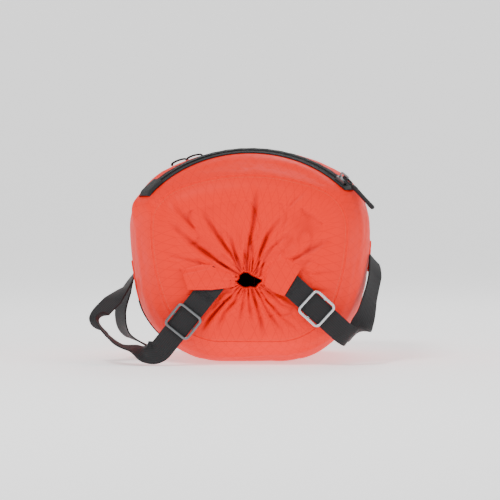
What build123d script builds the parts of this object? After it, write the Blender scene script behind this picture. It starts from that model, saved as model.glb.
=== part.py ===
"""Drawstring-mouth stuff sack lying on its side, with a top zip and two buckled straps.

Millimetres. +Z is up and the mouth faces -Y. The origin is the centre of the flat
strip on the underside that the sack rests on.
"""
import os
from math import cos, degrees, radians, sin

from build123d import *

# ---- overall size ---------------------------------------------------------
SACK_WIDTH = 266.0
SACK_HEIGHT = 233.5
BARREL_LENGTH = 180.0
CROWN_RADIUS = 235.0
CROWN_HALF_ANGLE = 22.0
FLANK_RADIUS = 260.0
FLANK_ANGLE = 20.0

# ---- fabric shell ---------------------------------------------------------
WALL = 1.5
LINER = 0.8
LINER_GAP = 0.5
SHOULDER_SWEEP = 110.0     # radius that rolls the barrel in towards the mouth
SEAM_ANGLE = 40.0          # where the barrel panel ends on that roll
RIM_SWEEP = 35.0           # tighter radius from the seam round to the front face
REAR_SWEEP = 30.0
SEAM_WIDTH = 3.0
SEAM_PROUD = 1.2

# ---- gathered mouth -------------------------------------------------------
MOUTH_HALF_WIDTH = 15.0
MOUTH_HEIGHT = 92.0
MOUTH_DIP = 4.0
HEM_WALL = 7.0
HEM_DEPTH = 8.0
ELASTIC = 3.0
ELASTIC_GAP = 0.3

# ---- top zip: a ring sector about a tilted axis ---------------------------
ZIP_TILT = 32.2
ZIP_CONE = 45.6
ZIP_RADIUS = 142.0
ZIP_TOP_Y = -110.0
ZIP_TOP_Z = 233.9
ZIP_LEFT = -53.5
ZIP_RIGHT = 48.0
ZIP_SPLIT = 0.4
TAPE_WIDTH = 11.0
TAPE = 0.8
COIL_WIDTH = 4.6
COIL = 1.5
SLOT_HALF = 6.0
ZIP_GAP = 0.3

# ---- slider and puller ----------------------------------------------------
SLIDER_LENGTH = 12.0
SLIDER_WIDTH = 10.0
SLIDER_PLATE = 1.8
BRIDGE_HEIGHT = 5.9
BRIDGE_WIDTH = 3.0
BRIDGE_WALL = 1.2
PULL_CORD = 1.8
PULL_LOOP = 14.0
GRIP_LENGTH = 37.0
GRIP_WIDTH = 5.4
GRIP_THICK = 4.6
PULL_DROOP = 8.0           # angle at which the puller lies below the zip's tangent
PULL_SLACK = 0.8           # free space between the puller's cord and the slider's bridge

# ---- webbing, wings and buckles -------------------------------------------
WEBBING = 25.0
WEBBING_THICK = 1.6
WING_THICK = 1.0
SEAT_GAP = 0.3
FACE_LIFT = 5.2            # webbing mid-plane ahead of the front face at a buckle
BUCKLE_WIRE = 3.0
BUCKLE_LENGTH = 31.0
BUCKLE_SIDE_GAP = 0.8
BUCKLE_GAP = 0.4
BUCKLE_CORNER = 6.0
LASH_WIDTH = 20.0
LASH_THICK = 1.6
LASH_RISE = 4.5
PATCH_THICK = 1.2

# ---- values worked out from the sizes above -------------------------------
HALF_WIDTH = SACK_WIDTH / 2
HALF_BARREL = BARREL_LENGTH / 2
CROWN = radians(CROWN_HALF_ANGLE)
FLANK = radians(FLANK_ANGLE)
SHOULDER_RADIUS = (HALF_WIDTH - CROWN_RADIUS * sin(CROWN)) / (1 - sin(CROWN))
SHOULDER_X = (CROWN_RADIUS - SHOULDER_RADIUS) * sin(CROWN)
SHOULDER_Z = SACK_HEIGHT - CROWN_RADIUS + (CROWN_RADIUS - SHOULDER_RADIUS) * cos(CROWN)
CORNER_RADIUS = (SHOULDER_Z - FLANK_RADIUS * sin(FLANK)) / (1 - sin(FLANK))
FLAT_HALF = HALF_WIDTH - FLANK_RADIUS * (1 - cos(FLANK)) - CORNER_RADIUS * cos(FLANK)
FRONT_JOIN = -HALF_BARREL
SEAM = radians(SEAM_ANGLE)
SEAM_INSET = SHOULDER_SWEEP * (1 - cos(SEAM))
SEAM_Y = FRONT_JOIN - SHOULDER_SWEEP * sin(SEAM)
RIM_INSET = SEAM_INSET + RIM_SWEEP * cos(SEAM)
RIM_CENTRE_Y = SEAM_Y + RIM_SWEEP * sin(SEAM)
FACE_Y = RIM_CENTRE_Y - RIM_SWEEP
MOUTH_SCALE = MOUTH_HALF_WIDTH / (HALF_WIDTH - RIM_INSET)
HEM_SCALE = (MOUTH_HALF_WIDTH + HEM_WALL) / (HALF_WIDTH - RIM_INSET)
HEM_FRONT = FACE_Y + MOUTH_DIP - HEM_DEPTH / 2
FACE_MIDDLE = SACK_HEIGHT / 2


# ---- closed outlines ------------------------------------------------------
def outline(y, inset, scale=1.0, middle=None):
    """Wire of the sack's cross-section at y, moved in by inset, then scaled about the mouth."""
    height = FACE_MIDDLE if middle is None else middle

    def place(x, z):
        return Vector(x * scale, y, height + (z - FACE_MIDDLE) * scale)

    def arc(cx, cz, radius, start, end):
        angles = (start, (start + end) / 2, end)
        return [place(cx + radius * sin(a), cz + radius * cos(a)) for a in angles]

    quarter = radians(90)
    right = [
        arc(FLAT_HALF, CORNER_RADIUS, CORNER_RADIUS - inset, 2 * quarter, quarter + FLANK),
        arc(HALF_WIDTH - FLANK_RADIUS, SHOULDER_Z, FLANK_RADIUS - inset, quarter + FLANK, quarter),
        arc(SHOULDER_X, SHOULDER_Z, SHOULDER_RADIUS - inset, quarter, CROWN),
    ]
    crown = arc(0, SACK_HEIGHT - CROWN_RADIUS, CROWN_RADIUS - inset, CROWN, -CROWN)
    left = [[Vector(-p.X, p.Y, p.Z) for p in reversed(points)] for points in reversed(right)]
    arcs = right + [crown] + left
    edges = [Edge.make_three_point_arc(*points) for points in arcs]
    edges.append(Edge.make_line(arcs[-1][2], arcs[0][0]))
    return Wire(edges)


def skin(sections):
    """Solid between outlines given as (y, inset, scale, middle)."""
    return Solid.make_loft([outline(*section) for section in sections], ruled=True)


def ring(y0, y1, outer, inner):
    """Straight ring from y0 to y1; outer and inner are (inset, scale, middle)."""
    front, back = min(y0, y1), max(y0, y1)
    return skin([(front, *outer), (back, *outer)]) - skin([(front - 1, *inner), (back + 1, *inner)])


def roll(offset, end, steps=8):
    """Sections of the shoulder roll, offset inwards, from the barrel to an angle."""
    radius = SHOULDER_SWEEP - offset
    angles = [end * i / steps for i in range(1, steps + 1)]
    return [(FRONT_JOIN - radius * sin(a), SHOULDER_SWEEP - radius * cos(a), 1.0, None) for a in angles]


def rim(offset, start, steps=6):
    """Sections of the rim, offset inwards, from an angle round to the front face."""
    radius = RIM_SWEEP - offset
    span = radians(90) - start
    angles = [start + span * i / steps for i in range(steps + 1)]
    return [(RIM_CENTRE_Y - radius * sin(a), RIM_INSET - radius * cos(a), 1.0, None) for a in angles]


def face(offset, scale_end):
    """Sections of the front face, from the rim in to the hem."""
    middle = (FACE_MIDDLE + MOUTH_HEIGHT) / 2
    half = (1 + scale_end) / 2
    return [
        (FACE_Y + offset, RIM_INSET, half, middle),
        (FACE_Y + offset + MOUTH_DIP, RIM_INSET, scale_end, MOUTH_HEIGHT),
    ]


def slab(y0, y1):
    """Large block that keeps what lies between two planes."""
    size = 4 * SACK_WIDTH
    return Pos(0, (y0 + y1) / 2, FACE_MIDDLE) * Box(size, abs(y1 - y0), size)


# ---- fabric panels --------------------------------------------------------
def barrel_body(offset):
    """Solid inside the barrel panel, moved in by offset and run past the front seam."""
    start = [(HALF_BARREL + offset, offset, 1.0, None), (FRONT_JOIN, offset, 1.0, None)]
    return skin(start + roll(offset, SEAM + radians(6)))


def side_wall():
    """Barrel panel between the two seams, slotted and seated for the zip."""
    shell = barrel_body(0) - barrel_body(WALL)
    shell = shell & slab(SEAM_Y + SEAM_WIDTH / 2, HALF_BARREL - SEAM_WIDTH / 2)
    slot = zip_sector(-SLOT_HALF, SLOT_HALF, -12, 6, ZIP_LEFT + 3, ZIP_RIGHT - 2)
    edge = TAPE_WIDTH + ZIP_GAP
    seat = zip_sector(-edge, edge, -ZIP_GAP, 6, ZIP_LEFT - 1.5, ZIP_RIGHT + 3)
    return shell - slot - seat


def front_seam_piping():
    outer = (SEAM_INSET - SEAM_PROUD, 1.0, None)
    inner = (SEAM_INSET + WALL + SEAM_PROUD, 1.0, None)
    return ring(SEAM_Y + SEAM_WIDTH / 2, SEAM_Y - SEAM_WIDTH / 2, outer, inner)


def mouth_skirt():
    """Front panel from the seam round the rim and in to the gathered hem."""
    outside = skin(rim(0, SEAM - radians(4)) + face(0, HEM_SCALE))
    inside = skin(rim(WALL, SEAM - radians(8)) + face(WALL, HEM_SCALE) + face(WALL + 4, HEM_SCALE)[1:])
    middle = (RIM_INSET, HEM_SCALE, MOUTH_HEIGHT)
    bore = skin([(FACE_Y - 20, *middle), (FACE_Y + 60, *middle)])
    return (outside - inside - bore) & slab(FACE_Y - 5, SEAM_Y - SEAM_WIDTH / 2)


def mouth_hem():
    """Folded channel round the mouth, hollow for its elastic."""
    outer = (RIM_INSET + 0.1, HEM_SCALE, MOUTH_HEIGHT)
    inner = (RIM_INSET, MOUTH_SCALE, MOUTH_HEIGHT)
    body = ring(HEM_FRONT + HEM_DEPTH, HEM_FRONT, outer, inner)
    room = ELASTIC + 2 * ELASTIC_GAP
    return body - elastic_ring(room)


def elastic_ring(size):
    """Ring of square section in the middle of the hem."""
    half = (HEM_WALL / 2 - size / 2) / (HALF_WIDTH - RIM_INSET)
    outer = (RIM_INSET, HEM_SCALE - half, MOUTH_HEIGHT)
    inner = (RIM_INSET, MOUTH_SCALE + half, MOUTH_HEIGHT)
    middle = HEM_FRONT + HEM_DEPTH / 2
    return ring(middle + size / 2, middle - size / 2, outer, inner)


def mouth_elastic():
    return elastic_ring(ELASTIC)


def liner():
    """Dark coated inner layer, close behind the barrel panel."""
    outer = WALL + LINER_GAP
    shell = barrel_body(outer) - barrel_body(outer + LINER)
    return shell & slab(SEAM_Y + SEAM_WIDTH, HALF_BARREL - SEAM_WIDTH)


def rear_sections(offset, lead=0.0):
    radius = REAR_SWEEP - offset
    angles = [radians(a) for a in (0, 20, 40, 60, 80, 90)]
    body = [(HALF_BARREL + radius * sin(a), REAR_SWEEP - radius * cos(a), 1.0, None) for a in angles]
    return [(HALF_BARREL - lead, offset, 1.0, None)] + body if lead else body


def rear_panel():
    shell = skin(rear_sections(0)) - skin(rear_sections(WALL, 5.0))
    return shell & slab(HALF_BARREL + SEAM_WIDTH / 2, HALF_BARREL + REAR_SWEEP + 5)


def rear_seam_binding():
    outer = (0.0, 1.0, None)
    inner = (WALL + SEAM_PROUD, 1.0, None)
    return ring(HALF_BARREL - SEAM_WIDTH / 2, HALF_BARREL + SEAM_WIDTH / 2, outer, inner)


# ---- zip ------------------------------------------------------------------
TILT = radians(ZIP_TILT)
CONE = radians(ZIP_CONE)
ZIP_AXIS = Vector(0, cos(TILT), -sin(TILT))
ZIP_UP = Vector(0, sin(TILT), cos(TILT))
ZIP_CENTRE = Vector(0, ZIP_TOP_Y, ZIP_TOP_Z) - ZIP_UP * ZIP_RADIUS


def zip_radial(angle):
    a = radians(angle)
    return Vector(1, 0, 0) * sin(a) + ZIP_UP * cos(a)


def zip_point(angle, across, height):
    """Point on the zip: angle along it, across towards the rear, height off the tape's back."""
    out = zip_radial(angle)
    side = out * sin(CONE) + ZIP_AXIS * cos(CONE)
    normal = out * cos(CONE) - ZIP_AXIS * sin(CONE)
    return ZIP_CENTRE + out * ZIP_RADIUS + side * across + normal * height


def zip_sector(across0, across1, height0, height1, start, end):
    """Bar of rectangular section that follows the zip from one angle to another."""
    corners = [(across0, height0), (across1, height0), (across1, height1), (across0, height1)]
    points = [zip_point(start, across, height) for across, height in corners]
    section = Face(Wire.make_polygon(points, close=True))
    return Solid.revolve(section, end - start, Axis(ZIP_CENTRE, ZIP_AXIS))


def arc_angle(length):
    return degrees(length / ZIP_RADIUS)


def zip_tape(side):
    start, end = sorted((side * ZIP_SPLIT / 2, side * TAPE_WIDTH))
    return zip_sector(start, end, 0, TAPE, ZIP_LEFT, ZIP_RIGHT)


def zip_coil():
    low = TAPE + 0.1
    return zip_sector(-COIL_WIDTH / 2, COIL_WIDTH / 2, low, low + COIL, ZIP_LEFT + 4, ZIP_RIGHT - 1)


def zip_garage_left():
    low = TAPE + COIL + 0.4
    lid = zip_sector(-TAPE_WIDTH, TAPE_WIDTH, low, low + TAPE, ZIP_LEFT - 1, ZIP_LEFT + 9)
    foot = zip_sector(-TAPE_WIDTH, TAPE_WIDTH, 0, low, ZIP_LEFT - 1, ZIP_LEFT - 0.2)
    return lid + foot


def zip_end_tab_right():
    return zip_sector(-TAPE_WIDTH, TAPE_WIDTH, -0.2, TAPE + 1.2, ZIP_RIGHT + 0.2, ZIP_RIGHT + 2.4)


SLIDER_LOW = TAPE + COIL + 0.5
SLIDER_TOP = SLIDER_LOW + SLIDER_PLATE
SLIDER_END = ZIP_RIGHT - 1.0
SLIDER_START = SLIDER_END - arc_angle(SLIDER_LENGTH)
SLIDER_MIDDLE = (SLIDER_START + SLIDER_END) / 2


def zip_slider():
    half = SLIDER_WIDTH / 2
    plate = zip_sector(-half, half, SLIDER_LOW, SLIDER_TOP, SLIDER_START, SLIDER_END)
    for side in (-1, 1):
        near, far = sorted((side * (COIL_WIDTH / 2 + ZIP_GAP), side * half))
        plate += zip_sector(near, far, TAPE + ZIP_GAP, SLIDER_LOW, SLIDER_START, SLIDER_END)
    arch = arc_angle(SLIDER_LENGTH * 0.8) / 2
    hole = arc_angle(SLIDER_LENGTH * 0.8 - 2 * BRIDGE_WALL) / 2
    width = BRIDGE_WIDTH / 2
    plate += zip_sector(-width, width, SLIDER_TOP, SLIDER_TOP + BRIDGE_HEIGHT,
                        SLIDER_MIDDLE - arch, SLIDER_MIDDLE + arch)
    return plate - zip_sector(-width - 1, width + 1, SLIDER_TOP, SLIDER_TOP + BRIDGE_HEIGHT - BRIDGE_WALL,
                              SLIDER_MIDDLE - hole, SLIDER_MIDDLE + hole)


PULL_HEIGHT = SLIDER_TOP + BRIDGE_HEIGHT - BRIDGE_WALL - PULL_CORD / 2 - PULL_SLACK
PULL_PIVOT = zip_point(SLIDER_MIDDLE, 0, PULL_HEIGHT)


def pull_plane():
    """Plane of the puller: origin at its pivot, X along the puller, Z away from the sack."""
    out = zip_radial(SLIDER_MIDDLE)
    side = out * sin(CONE) + ZIP_AXIS * cos(CONE)
    normal = out * cos(CONE) - ZIP_AXIS * sin(CONE)
    tangent = side.cross(normal)
    droop = radians(PULL_DROOP)
    along = tangent * cos(droop) - normal * sin(droop)
    return Plane(origin=PULL_PIVOT, x_dir=along, z_dir=tangent * sin(droop) + normal * cos(droop))


def pull_loop():
    """Oval of cord that passes through the slider's bridge."""
    long, wide = PULL_LOOP, BRIDGE_WIDTH + 2 * (PULL_CORD + PULL_SLACK)
    plane = pull_plane()
    centre = long / 2 - PULL_CORD / 2
    with BuildPart() as part:
        with BuildSketch(plane.offset(-PULL_CORD / 2)):
            with Locations((centre, 0)):
                SlotOverall(long, wide)
                SlotOverall(long - 2 * PULL_CORD, wide - 2 * PULL_CORD, mode=Mode.SUBTRACT)
        extrude(amount=PULL_CORD)
    return part.part


def pull_grip():
    """Moulded grip on the end of the cord loop."""
    plane = pull_plane()
    start = PULL_LOOP - PULL_CORD / 2 + 0.1
    with BuildPart() as part:
        with BuildSketch(plane.offset(-GRIP_THICK / 2)):
            with Locations((start + GRIP_LENGTH / 2, 0)):
                RectangleRounded(GRIP_LENGTH, GRIP_WIDTH, 2.0)
        extrude(amount=GRIP_THICK)
        fillet(part.edges().filter_by(GeomType.CIRCLE, reverse=True), 0.8)
    return part.part


# ---- webbing --------------------------------------------------------------
def band(points, widths, width, thickness, steps=4, lead_in=None):
    """Flat webbing through points; widths are the directions across it at each point."""
    count = len(points)
    stations = []
    for i in range(count - 1):
        before, start = points[i - 1] if i else (lead_in or points[0]), points[i]
        end, after = points[i + 1], points[min(i + 2, count - 1)]
        for k in range(steps + (i == count - 2)):
            t = k / steps
            place = 0.5 * (start * 2 + (end - before) * t + (before * 2 - start * 5 + end * 4 - after) * t**2
                           + (start * 3 - before - end * 3 + after) * t**3)
            stations.append((place, widths[i] * (1 - t) + widths[i + 1] * t))
    rows = []
    for i, (place, across) in enumerate(stations):
        near, far = stations[max(i - 1, 0)][0], stations[min(i + 1, len(stations) - 1)][0]
        along = (place - lead_in if lead_in and not i else far - near).normalized()
        across = (across - along * across.dot(along)).normalized() * (width / 2)
        lift = along.cross(across).normalized() * (thickness / 2)
        rows.append([place - across - lift, place + across - lift, place + across + lift, place - across + lift])
    return faceted(rows)


def faceted(rows):
    """Solid of flat triangles between rows of corners, closed by its first and last row."""
    count = len(rows[0])
    corners = []
    for near, far in zip(rows, rows[1:]):
        for k in range(count):
            after = (k + 1) % count
            corners.append((near[k], near[after], far[after]))
            corners.append((near[k], far[after], far[k]))
    for k in range(1, count - 1):
        corners.append((rows[0][0], rows[0][k + 1], rows[0][k]))
        corners.append((rows[-1][0], rows[-1][k], rows[-1][k + 1]))
    faces = [Face(Wire.make_polygon(triangle, close=True)) for triangle in corners]
    return Solid(Shell(faces))


def vectors(rows):
    return [Vector(*row) for row in rows]


LIFT_Y = FACE_Y - FACE_LIFT
ANCHOR_Y = FACE_Y - SEAT_GAP - WEBBING_THICK / 2
STUB_LENGTH = 27.0
RUN_FALL = 4.0
RUN_GAP = 0.4
RUN_LEAD = 40.0
RIGHT_START = Vector(46, LIFT_Y, 87.5)
RIGHT_END = Vector(100, LIFT_Y + RUN_FALL, 38)
LEFT_START = Vector(-46, LIFT_Y, 80)
LEFT_END = Vector(-96, LIFT_Y + RUN_FALL, 17.5)


def strap_anchor(start, end):
    """Sewn end of a strap, in line with its run and flat on the face."""
    back = Vector(end.X - start.X, 0, end.Z - start.Z).normalized() * STUB_LENGTH
    return Vector(start.X - back.X, ANCHOR_Y, start.Z - back.Z)


RIGHT_ANCHOR = strap_anchor(RIGHT_START, RIGHT_END)
LEFT_ANCHOR = strap_anchor(LEFT_START, LEFT_END)


def run_side(start, end):
    """Upward direction across a front run, in the plane of the front face."""
    side = Vector(0, -1, 0).cross(end - start).normalized()
    return side if side.Z > 0 else side * -1


def beyond(start, end, distance):
    """Point past the end of a straight run."""
    return end + (end - start).normalized() * distance


def strap_stub(anchor, start, end):
    """Sewn-down end of a strap, from under its wing to the free run."""
    side = run_side(start, end)
    return band([anchor, beyond(anchor, start, -RUN_GAP)], [side, side], WEBBING, WEBBING_THICK, 1)


def front_strap(start, end):
    """Straight run that the buckle slides along."""
    side = run_side(start, end)
    return band([start, end], [side, side], WEBBING, WEBBING_THICK, 1)


def right_rear_strap():
    """Right strap from its straight run, round the lower edge and up to the flank."""
    side = run_side(RIGHT_START, RIGHT_END)
    flare = Vector(0.54, 0.84, 0)
    lead = beyond(RIGHT_START, RIGHT_END, RUN_GAP)
    points = [lead] + vectors([(114, -161, 34), (126, -141, 49), (133, -121, 74), (138, -108, 98),
                               (137.4, -98, 114)])
    turn = side * 0.6 + flare * 0.4
    widths = [side, turn, flare, flare, flare, Vector(0.35, 1, 0)]
    return band(points, widths, WEBBING, WEBBING_THICK, lead_in=RIGHT_START)


def left_outer_loop():
    """Left strap from its straight run, out along the ground and back to the flank."""
    side = run_side(LEFT_START, LEFT_END)
    level, fold = Vector(0, 1, 0), Vector(-0.3, 0.8, 0.51)
    lead = beyond(LEFT_START, LEFT_END, RUN_GAP)
    points = [lead] + vectors([(-111, -171, 15), (-126, -164, 19), (-145, -151, 24), (-161, -136, 37),
                               (-167, -120, 51), (-153, -106, 68), (-134.5, -92, 87)])
    widths = [side, side * 0.65 + level * 0.35, side * 0.3 + level * 0.7, level, level, fold, fold, level]
    return band(points, widths, WEBBING, WEBBING_THICK, lead_in=beyond(LEFT_START, LEFT_END, -RUN_LEAD))


def left_inner_loop():
    """Second loop on the left, from the flank patch down to the lower edge."""
    level, flare = Vector(0, 1, 0), Vector(-0.5, 0.84, 0.1)
    points = vectors([(-132.2, -54, 98), (-142, -62, 74), (-146.5, -69, 50), (-139, -74, 30), (-112, -78, 14)])
    return band(points, [level, flare, flare, flare, level], WEBBING, WEBBING_THICK)


def wing(anchor, start, corners):
    """Fabric gusset over a sewn webbing end, parallel to it; corners are (x, z)."""
    along = Vector(start.X - anchor.X, 0, start.Z - anchor.Z)
    slope = (anchor.Y - start.Y) / along.length
    along = along.normalized()

    def place(x, z):
        run = (x - anchor.X) * along.X + (z - anchor.Z) * along.Z
        return Vector(x, anchor.Y - WEBBING_THICK / 2 - SEAT_GAP - slope * run, z)

    outline_wire = Wire.make_polygon([place(x, z) for x, z in corners], close=True)
    plate = Face(outline_wire)
    normal = plate.normal_at()
    if normal.Y > 0:
        normal = normal * -1
    return Solid.extrude(plate, normal * WING_THICK)


def right_wing():
    return wing(RIGHT_ANCHOR, RIGHT_START, [(18, 86), (18, 104), (52, 101), (45, 77)])


def left_wing():
    return wing(LEFT_ANCHOR, LEFT_START, [(-18, 84), (-18, 104), (-52, 110), (-72, 107), (-66, 83.5)])


def flank_strip(side, z0, z1, y0, y1, low, high):
    """Cloth or webbing laid on the flank, between two heights above it."""
    outer = skin([(y0, -high, 1.0, None), (y1, -high, 1.0, None)])
    inner = skin([(y0 - 1, -low, 1.0, None), (y1 + 1, -low, 1.0, None)])
    window = Pos(side * HALF_WIDTH, (y0 + y1) / 2, (z0 + z1) / 2) * Box(HALF_WIDTH, y1 - y0, z1 - z0)
    return (outer - inner) & window


def side_patch(side, z0, z1, y0, y1):
    """Reinforcement sewn on the flank where webbing returns to the sack."""
    return flank_strip(side, z0, z1, y0, y1, SEAT_GAP, SEAT_GAP + PATCH_THICK)


def left_flank_webbing():
    """Webbing sewn flat down the left flank below its patch."""
    return flank_strip(-1, 16, 67.5, -96, -96 + WEBBING, SEAT_GAP, SEAT_GAP + WEBBING_THICK)


# ---- buckles --------------------------------------------------------------
def buckle_plane(start, end, fraction):
    along = (end - start).normalized()
    front = along.cross(run_side(start, end))
    if front.Y > 0:
        front = front * -1
    return Plane(origin=start + (end - start) * fraction, x_dir=along, z_dir=front)


def buckle(plane):
    """Square wire frame ahead of the webbing, with a bar behind it."""
    width = WEBBING + 2 * (BUCKLE_SIDE_GAP + BUCKLE_WIRE)
    inner_length, inner_width = BUCKLE_LENGTH - 2 * BUCKLE_WIRE, width - 2 * BUCKLE_WIRE
    lift = WEBBING_THICK / 2 + BUCKLE_GAP
    bar = width / 2 - BUCKLE_WIRE / 2
    with BuildPart() as part:
        with BuildSketch(plane.offset(lift)):
            RectangleRounded(BUCKLE_LENGTH, width, BUCKLE_CORNER)
            RectangleRounded(inner_length, inner_width, BUCKLE_CORNER - BUCKLE_WIRE, mode=Mode.SUBTRACT)
        extrude(amount=BUCKLE_WIRE)
        fillet(part.edges().filter_by(lambda e: abs(e.tangent_at(0).dot(plane.z_dir)) < 0.1), 0.9)
    frame = part.part
    low = -lift - BUCKLE_WIRE * 0.7
    cross_bar = Box(BUCKLE_WIRE, 2 * bar + BUCKLE_WIRE * 0.6, BUCKLE_WIRE * 0.7)
    frame += plane * Pos(0, 0, low + BUCKLE_WIRE * 0.35) * cross_bar
    for side in (-1, 1):
        post_height = lift + 1.0 - low
        post = Box(BUCKLE_WIRE, BUCKLE_WIRE * 0.6, post_height)
        frame += plane * Pos(0, side * bar, low + post_height / 2) * post
    return frame


RIGHT_BUCKLE = buckle_plane(RIGHT_START, RIGHT_END, 0.5)
LEFT_BUCKLE = buckle_plane(LEFT_START, LEFT_END, 0.5)


# ---- lash webbing on the crown --------------------------------------------
def lash_band(low, high, y0, y1, start, end):
    """Ring sector over the crown between two heights above the cloth, angles from the top."""
    centre = Vector(0, 0, SACK_HEIGHT - CROWN_RADIUS)
    radii = (CROWN_RADIUS + low, CROWN_RADIUS + high)
    corners = [(radii[0], y0), (radii[1], y0), (radii[1], y1), (radii[0], y1)]
    a = radians(start)
    points = [centre + Vector(sin(a) * r, y, cos(a) * r) for r, y in corners]
    section = Face(Wire.make_polygon(points, close=True))
    return Solid.revolve(section, end - start, Axis(centre, Vector(0, 1, 0)))


LASH_Y = -84.0
LASH_START = -22.0
LASH_STEP = 4.4
LASH_TACK = 0.5
LASH_LOOPS = 2


def lash_webbing():
    """Webbing tacked down between loops that stand off the cloth."""
    parts = []
    for i in range(LASH_LOOPS):
        start = LASH_START + i * LASH_STEP
        parts.append(lash_band(LASH_RISE - LASH_THICK, LASH_RISE, LASH_Y, LASH_Y + LASH_WIDTH,
                               start, start + LASH_STEP))
    for i in range(LASH_LOOPS + 1):
        start = LASH_START + i * LASH_STEP - LASH_TACK / 2
        parts.append(lash_band(SEAT_GAP, LASH_RISE, LASH_Y, LASH_Y + LASH_WIDTH, start, start + LASH_TACK))
    body = parts[0]
    for piece in parts[1:]:
        body = body + piece
    return body


# ---- write the parts ------------------------------------------------------
def build():
    return {
        "side_wall": side_wall(),
        "front_seam_piping": front_seam_piping(),
        "mouth_skirt": mouth_skirt(),
        "mouth_hem": mouth_hem(),
        "mouth_elastic": mouth_elastic(),
        "liner": liner(),
        "rear_panel": rear_panel(),
        "rear_seam_binding": rear_seam_binding(),
        "zip_tape_front": zip_tape(-1),
        "zip_tape_rear": zip_tape(1),
        "zip_coil": zip_coil(),
        "zip_garage_left": zip_garage_left(),
        "zip_end_tab_right": zip_end_tab_right(),
        "zip_slider": zip_slider(),
        "pull_loop": pull_loop(),
        "pull_grip": pull_grip(),
        "right_strap_stub": strap_stub(RIGHT_ANCHOR, RIGHT_START, RIGHT_END),
        "right_front_strap": front_strap(RIGHT_START, RIGHT_END),
        "right_rear_strap": right_rear_strap(),
        "left_strap_stub": strap_stub(LEFT_ANCHOR, LEFT_START, LEFT_END),
        "left_front_strap": front_strap(LEFT_START, LEFT_END),
        "left_outer_loop": left_outer_loop(),
        "left_inner_loop": left_inner_loop(),
        "right_wing": right_wing(),
        "left_wing": left_wing(),
        "left_flank_webbing": left_flank_webbing(),
        "right_side_patch": side_patch(1, 100, 134, -98, -60),
        "left_side_patch": side_patch(-1, 68, 112, -102, -40),
        "right_buckle_frame": buckle(RIGHT_BUCKLE),
        "left_buckle_frame": buckle(LEFT_BUCKLE),
        "lash_webbing": lash_webbing(),
    }


def main():
    os.makedirs("parts", exist_ok=True)
    for name, shape in build().items():
        export_step(shape, f"parts/{name}.step")
    print("pull pivot", PULL_PIVOT, "zip centre", ZIP_CENTRE, "zip axis", ZIP_AXIS)


main()
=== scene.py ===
# %% [markdown]
# # A stuff sack with a gathered mouth
# The frame holds every moving and load carrying part of the sack as plain solids.
# This lesson dresses that frame: cloth panels with real folds, sewn seams, a coil zip,
# ribbed webbing and a soft studio around them. Everything is in metres.

# %% Load the frame
import math

import bpy
import numpy as np
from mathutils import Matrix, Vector, noise
from mathutils.bvhtree import BVHTree


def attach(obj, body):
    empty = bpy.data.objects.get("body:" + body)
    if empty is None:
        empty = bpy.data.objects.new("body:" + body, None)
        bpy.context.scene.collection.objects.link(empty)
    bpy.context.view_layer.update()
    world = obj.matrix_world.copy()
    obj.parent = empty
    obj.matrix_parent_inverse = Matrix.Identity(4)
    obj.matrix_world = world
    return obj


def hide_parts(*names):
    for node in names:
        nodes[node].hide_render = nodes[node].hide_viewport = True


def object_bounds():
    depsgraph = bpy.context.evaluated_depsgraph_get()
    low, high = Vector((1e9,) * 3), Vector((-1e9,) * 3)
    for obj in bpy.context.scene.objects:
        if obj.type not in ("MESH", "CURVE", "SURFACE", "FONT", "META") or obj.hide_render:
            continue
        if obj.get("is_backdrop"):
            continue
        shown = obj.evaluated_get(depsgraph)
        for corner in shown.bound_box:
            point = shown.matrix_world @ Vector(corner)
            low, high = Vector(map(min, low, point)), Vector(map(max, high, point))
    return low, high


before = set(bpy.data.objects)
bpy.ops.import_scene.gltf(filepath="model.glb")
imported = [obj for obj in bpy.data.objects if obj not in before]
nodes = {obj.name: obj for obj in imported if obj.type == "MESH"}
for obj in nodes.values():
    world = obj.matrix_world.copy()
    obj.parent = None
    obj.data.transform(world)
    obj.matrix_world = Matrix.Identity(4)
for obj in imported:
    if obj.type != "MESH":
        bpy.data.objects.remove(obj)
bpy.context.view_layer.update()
MM = 0.001

# %% [markdown]
# ## Small helpers
# Each cloth piece starts as Blender's own grid. A grid knows nothing of sewing, so its points
# are laid onto the pattern of the panel by row and column. That keeps rows running along the
# cloth, which is what a weave, a fold and a stitch line all need.

# %% Helpers for grids, modifiers and slots
def clear_selection():
    if bpy.context.object and bpy.context.object.mode != "OBJECT":
        bpy.ops.object.mode_set(mode="OBJECT")
    bpy.ops.object.select_all(action="DESELECT")


def pick(piece):
    clear_selection()
    piece.select_set(True)
    bpy.context.view_layer.objects.active = piece


def point_array(mesh):
    flat = np.zeros(len(mesh.vertices) * 3)
    mesh.vertices.foreach_get("co", flat)
    return flat.reshape(-1, 3)


def cloth_grid(name, columns, rows, place, material, closed=False):
    """A grid whose points go where place(column, row) says; it also gives the UVs in metres."""
    clear_selection()
    bpy.ops.mesh.primitive_grid_add(x_subdivisions=columns, y_subdivisions=rows, size=2)
    piece = bpy.context.object
    piece.name = piece.data.name = name
    flat = point_array(piece.data)
    column = np.rint((flat[:, 0] + 1) / 2 * columns).astype(int)
    row = np.rint((flat[:, 1] + 1) / 2 * rows).astype(int)
    points, uv = place(column, row)
    piece.data.vertices.foreach_set("co", points.ravel())
    corner = np.zeros(len(piece.data.loops), int)
    piece.data.loops.foreach_get("vertex_index", corner)
    piece.data.uv_layers[0].data.foreach_set("uv", uv[corner].ravel())
    piece.data.update()
    if closed:
        edit(piece, lambda: bpy.ops.mesh.remove_doubles(threshold=1e-6))
    pick(piece)
    bpy.ops.object.shade_smooth()
    piece.data.materials.append(material)
    return piece


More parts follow.
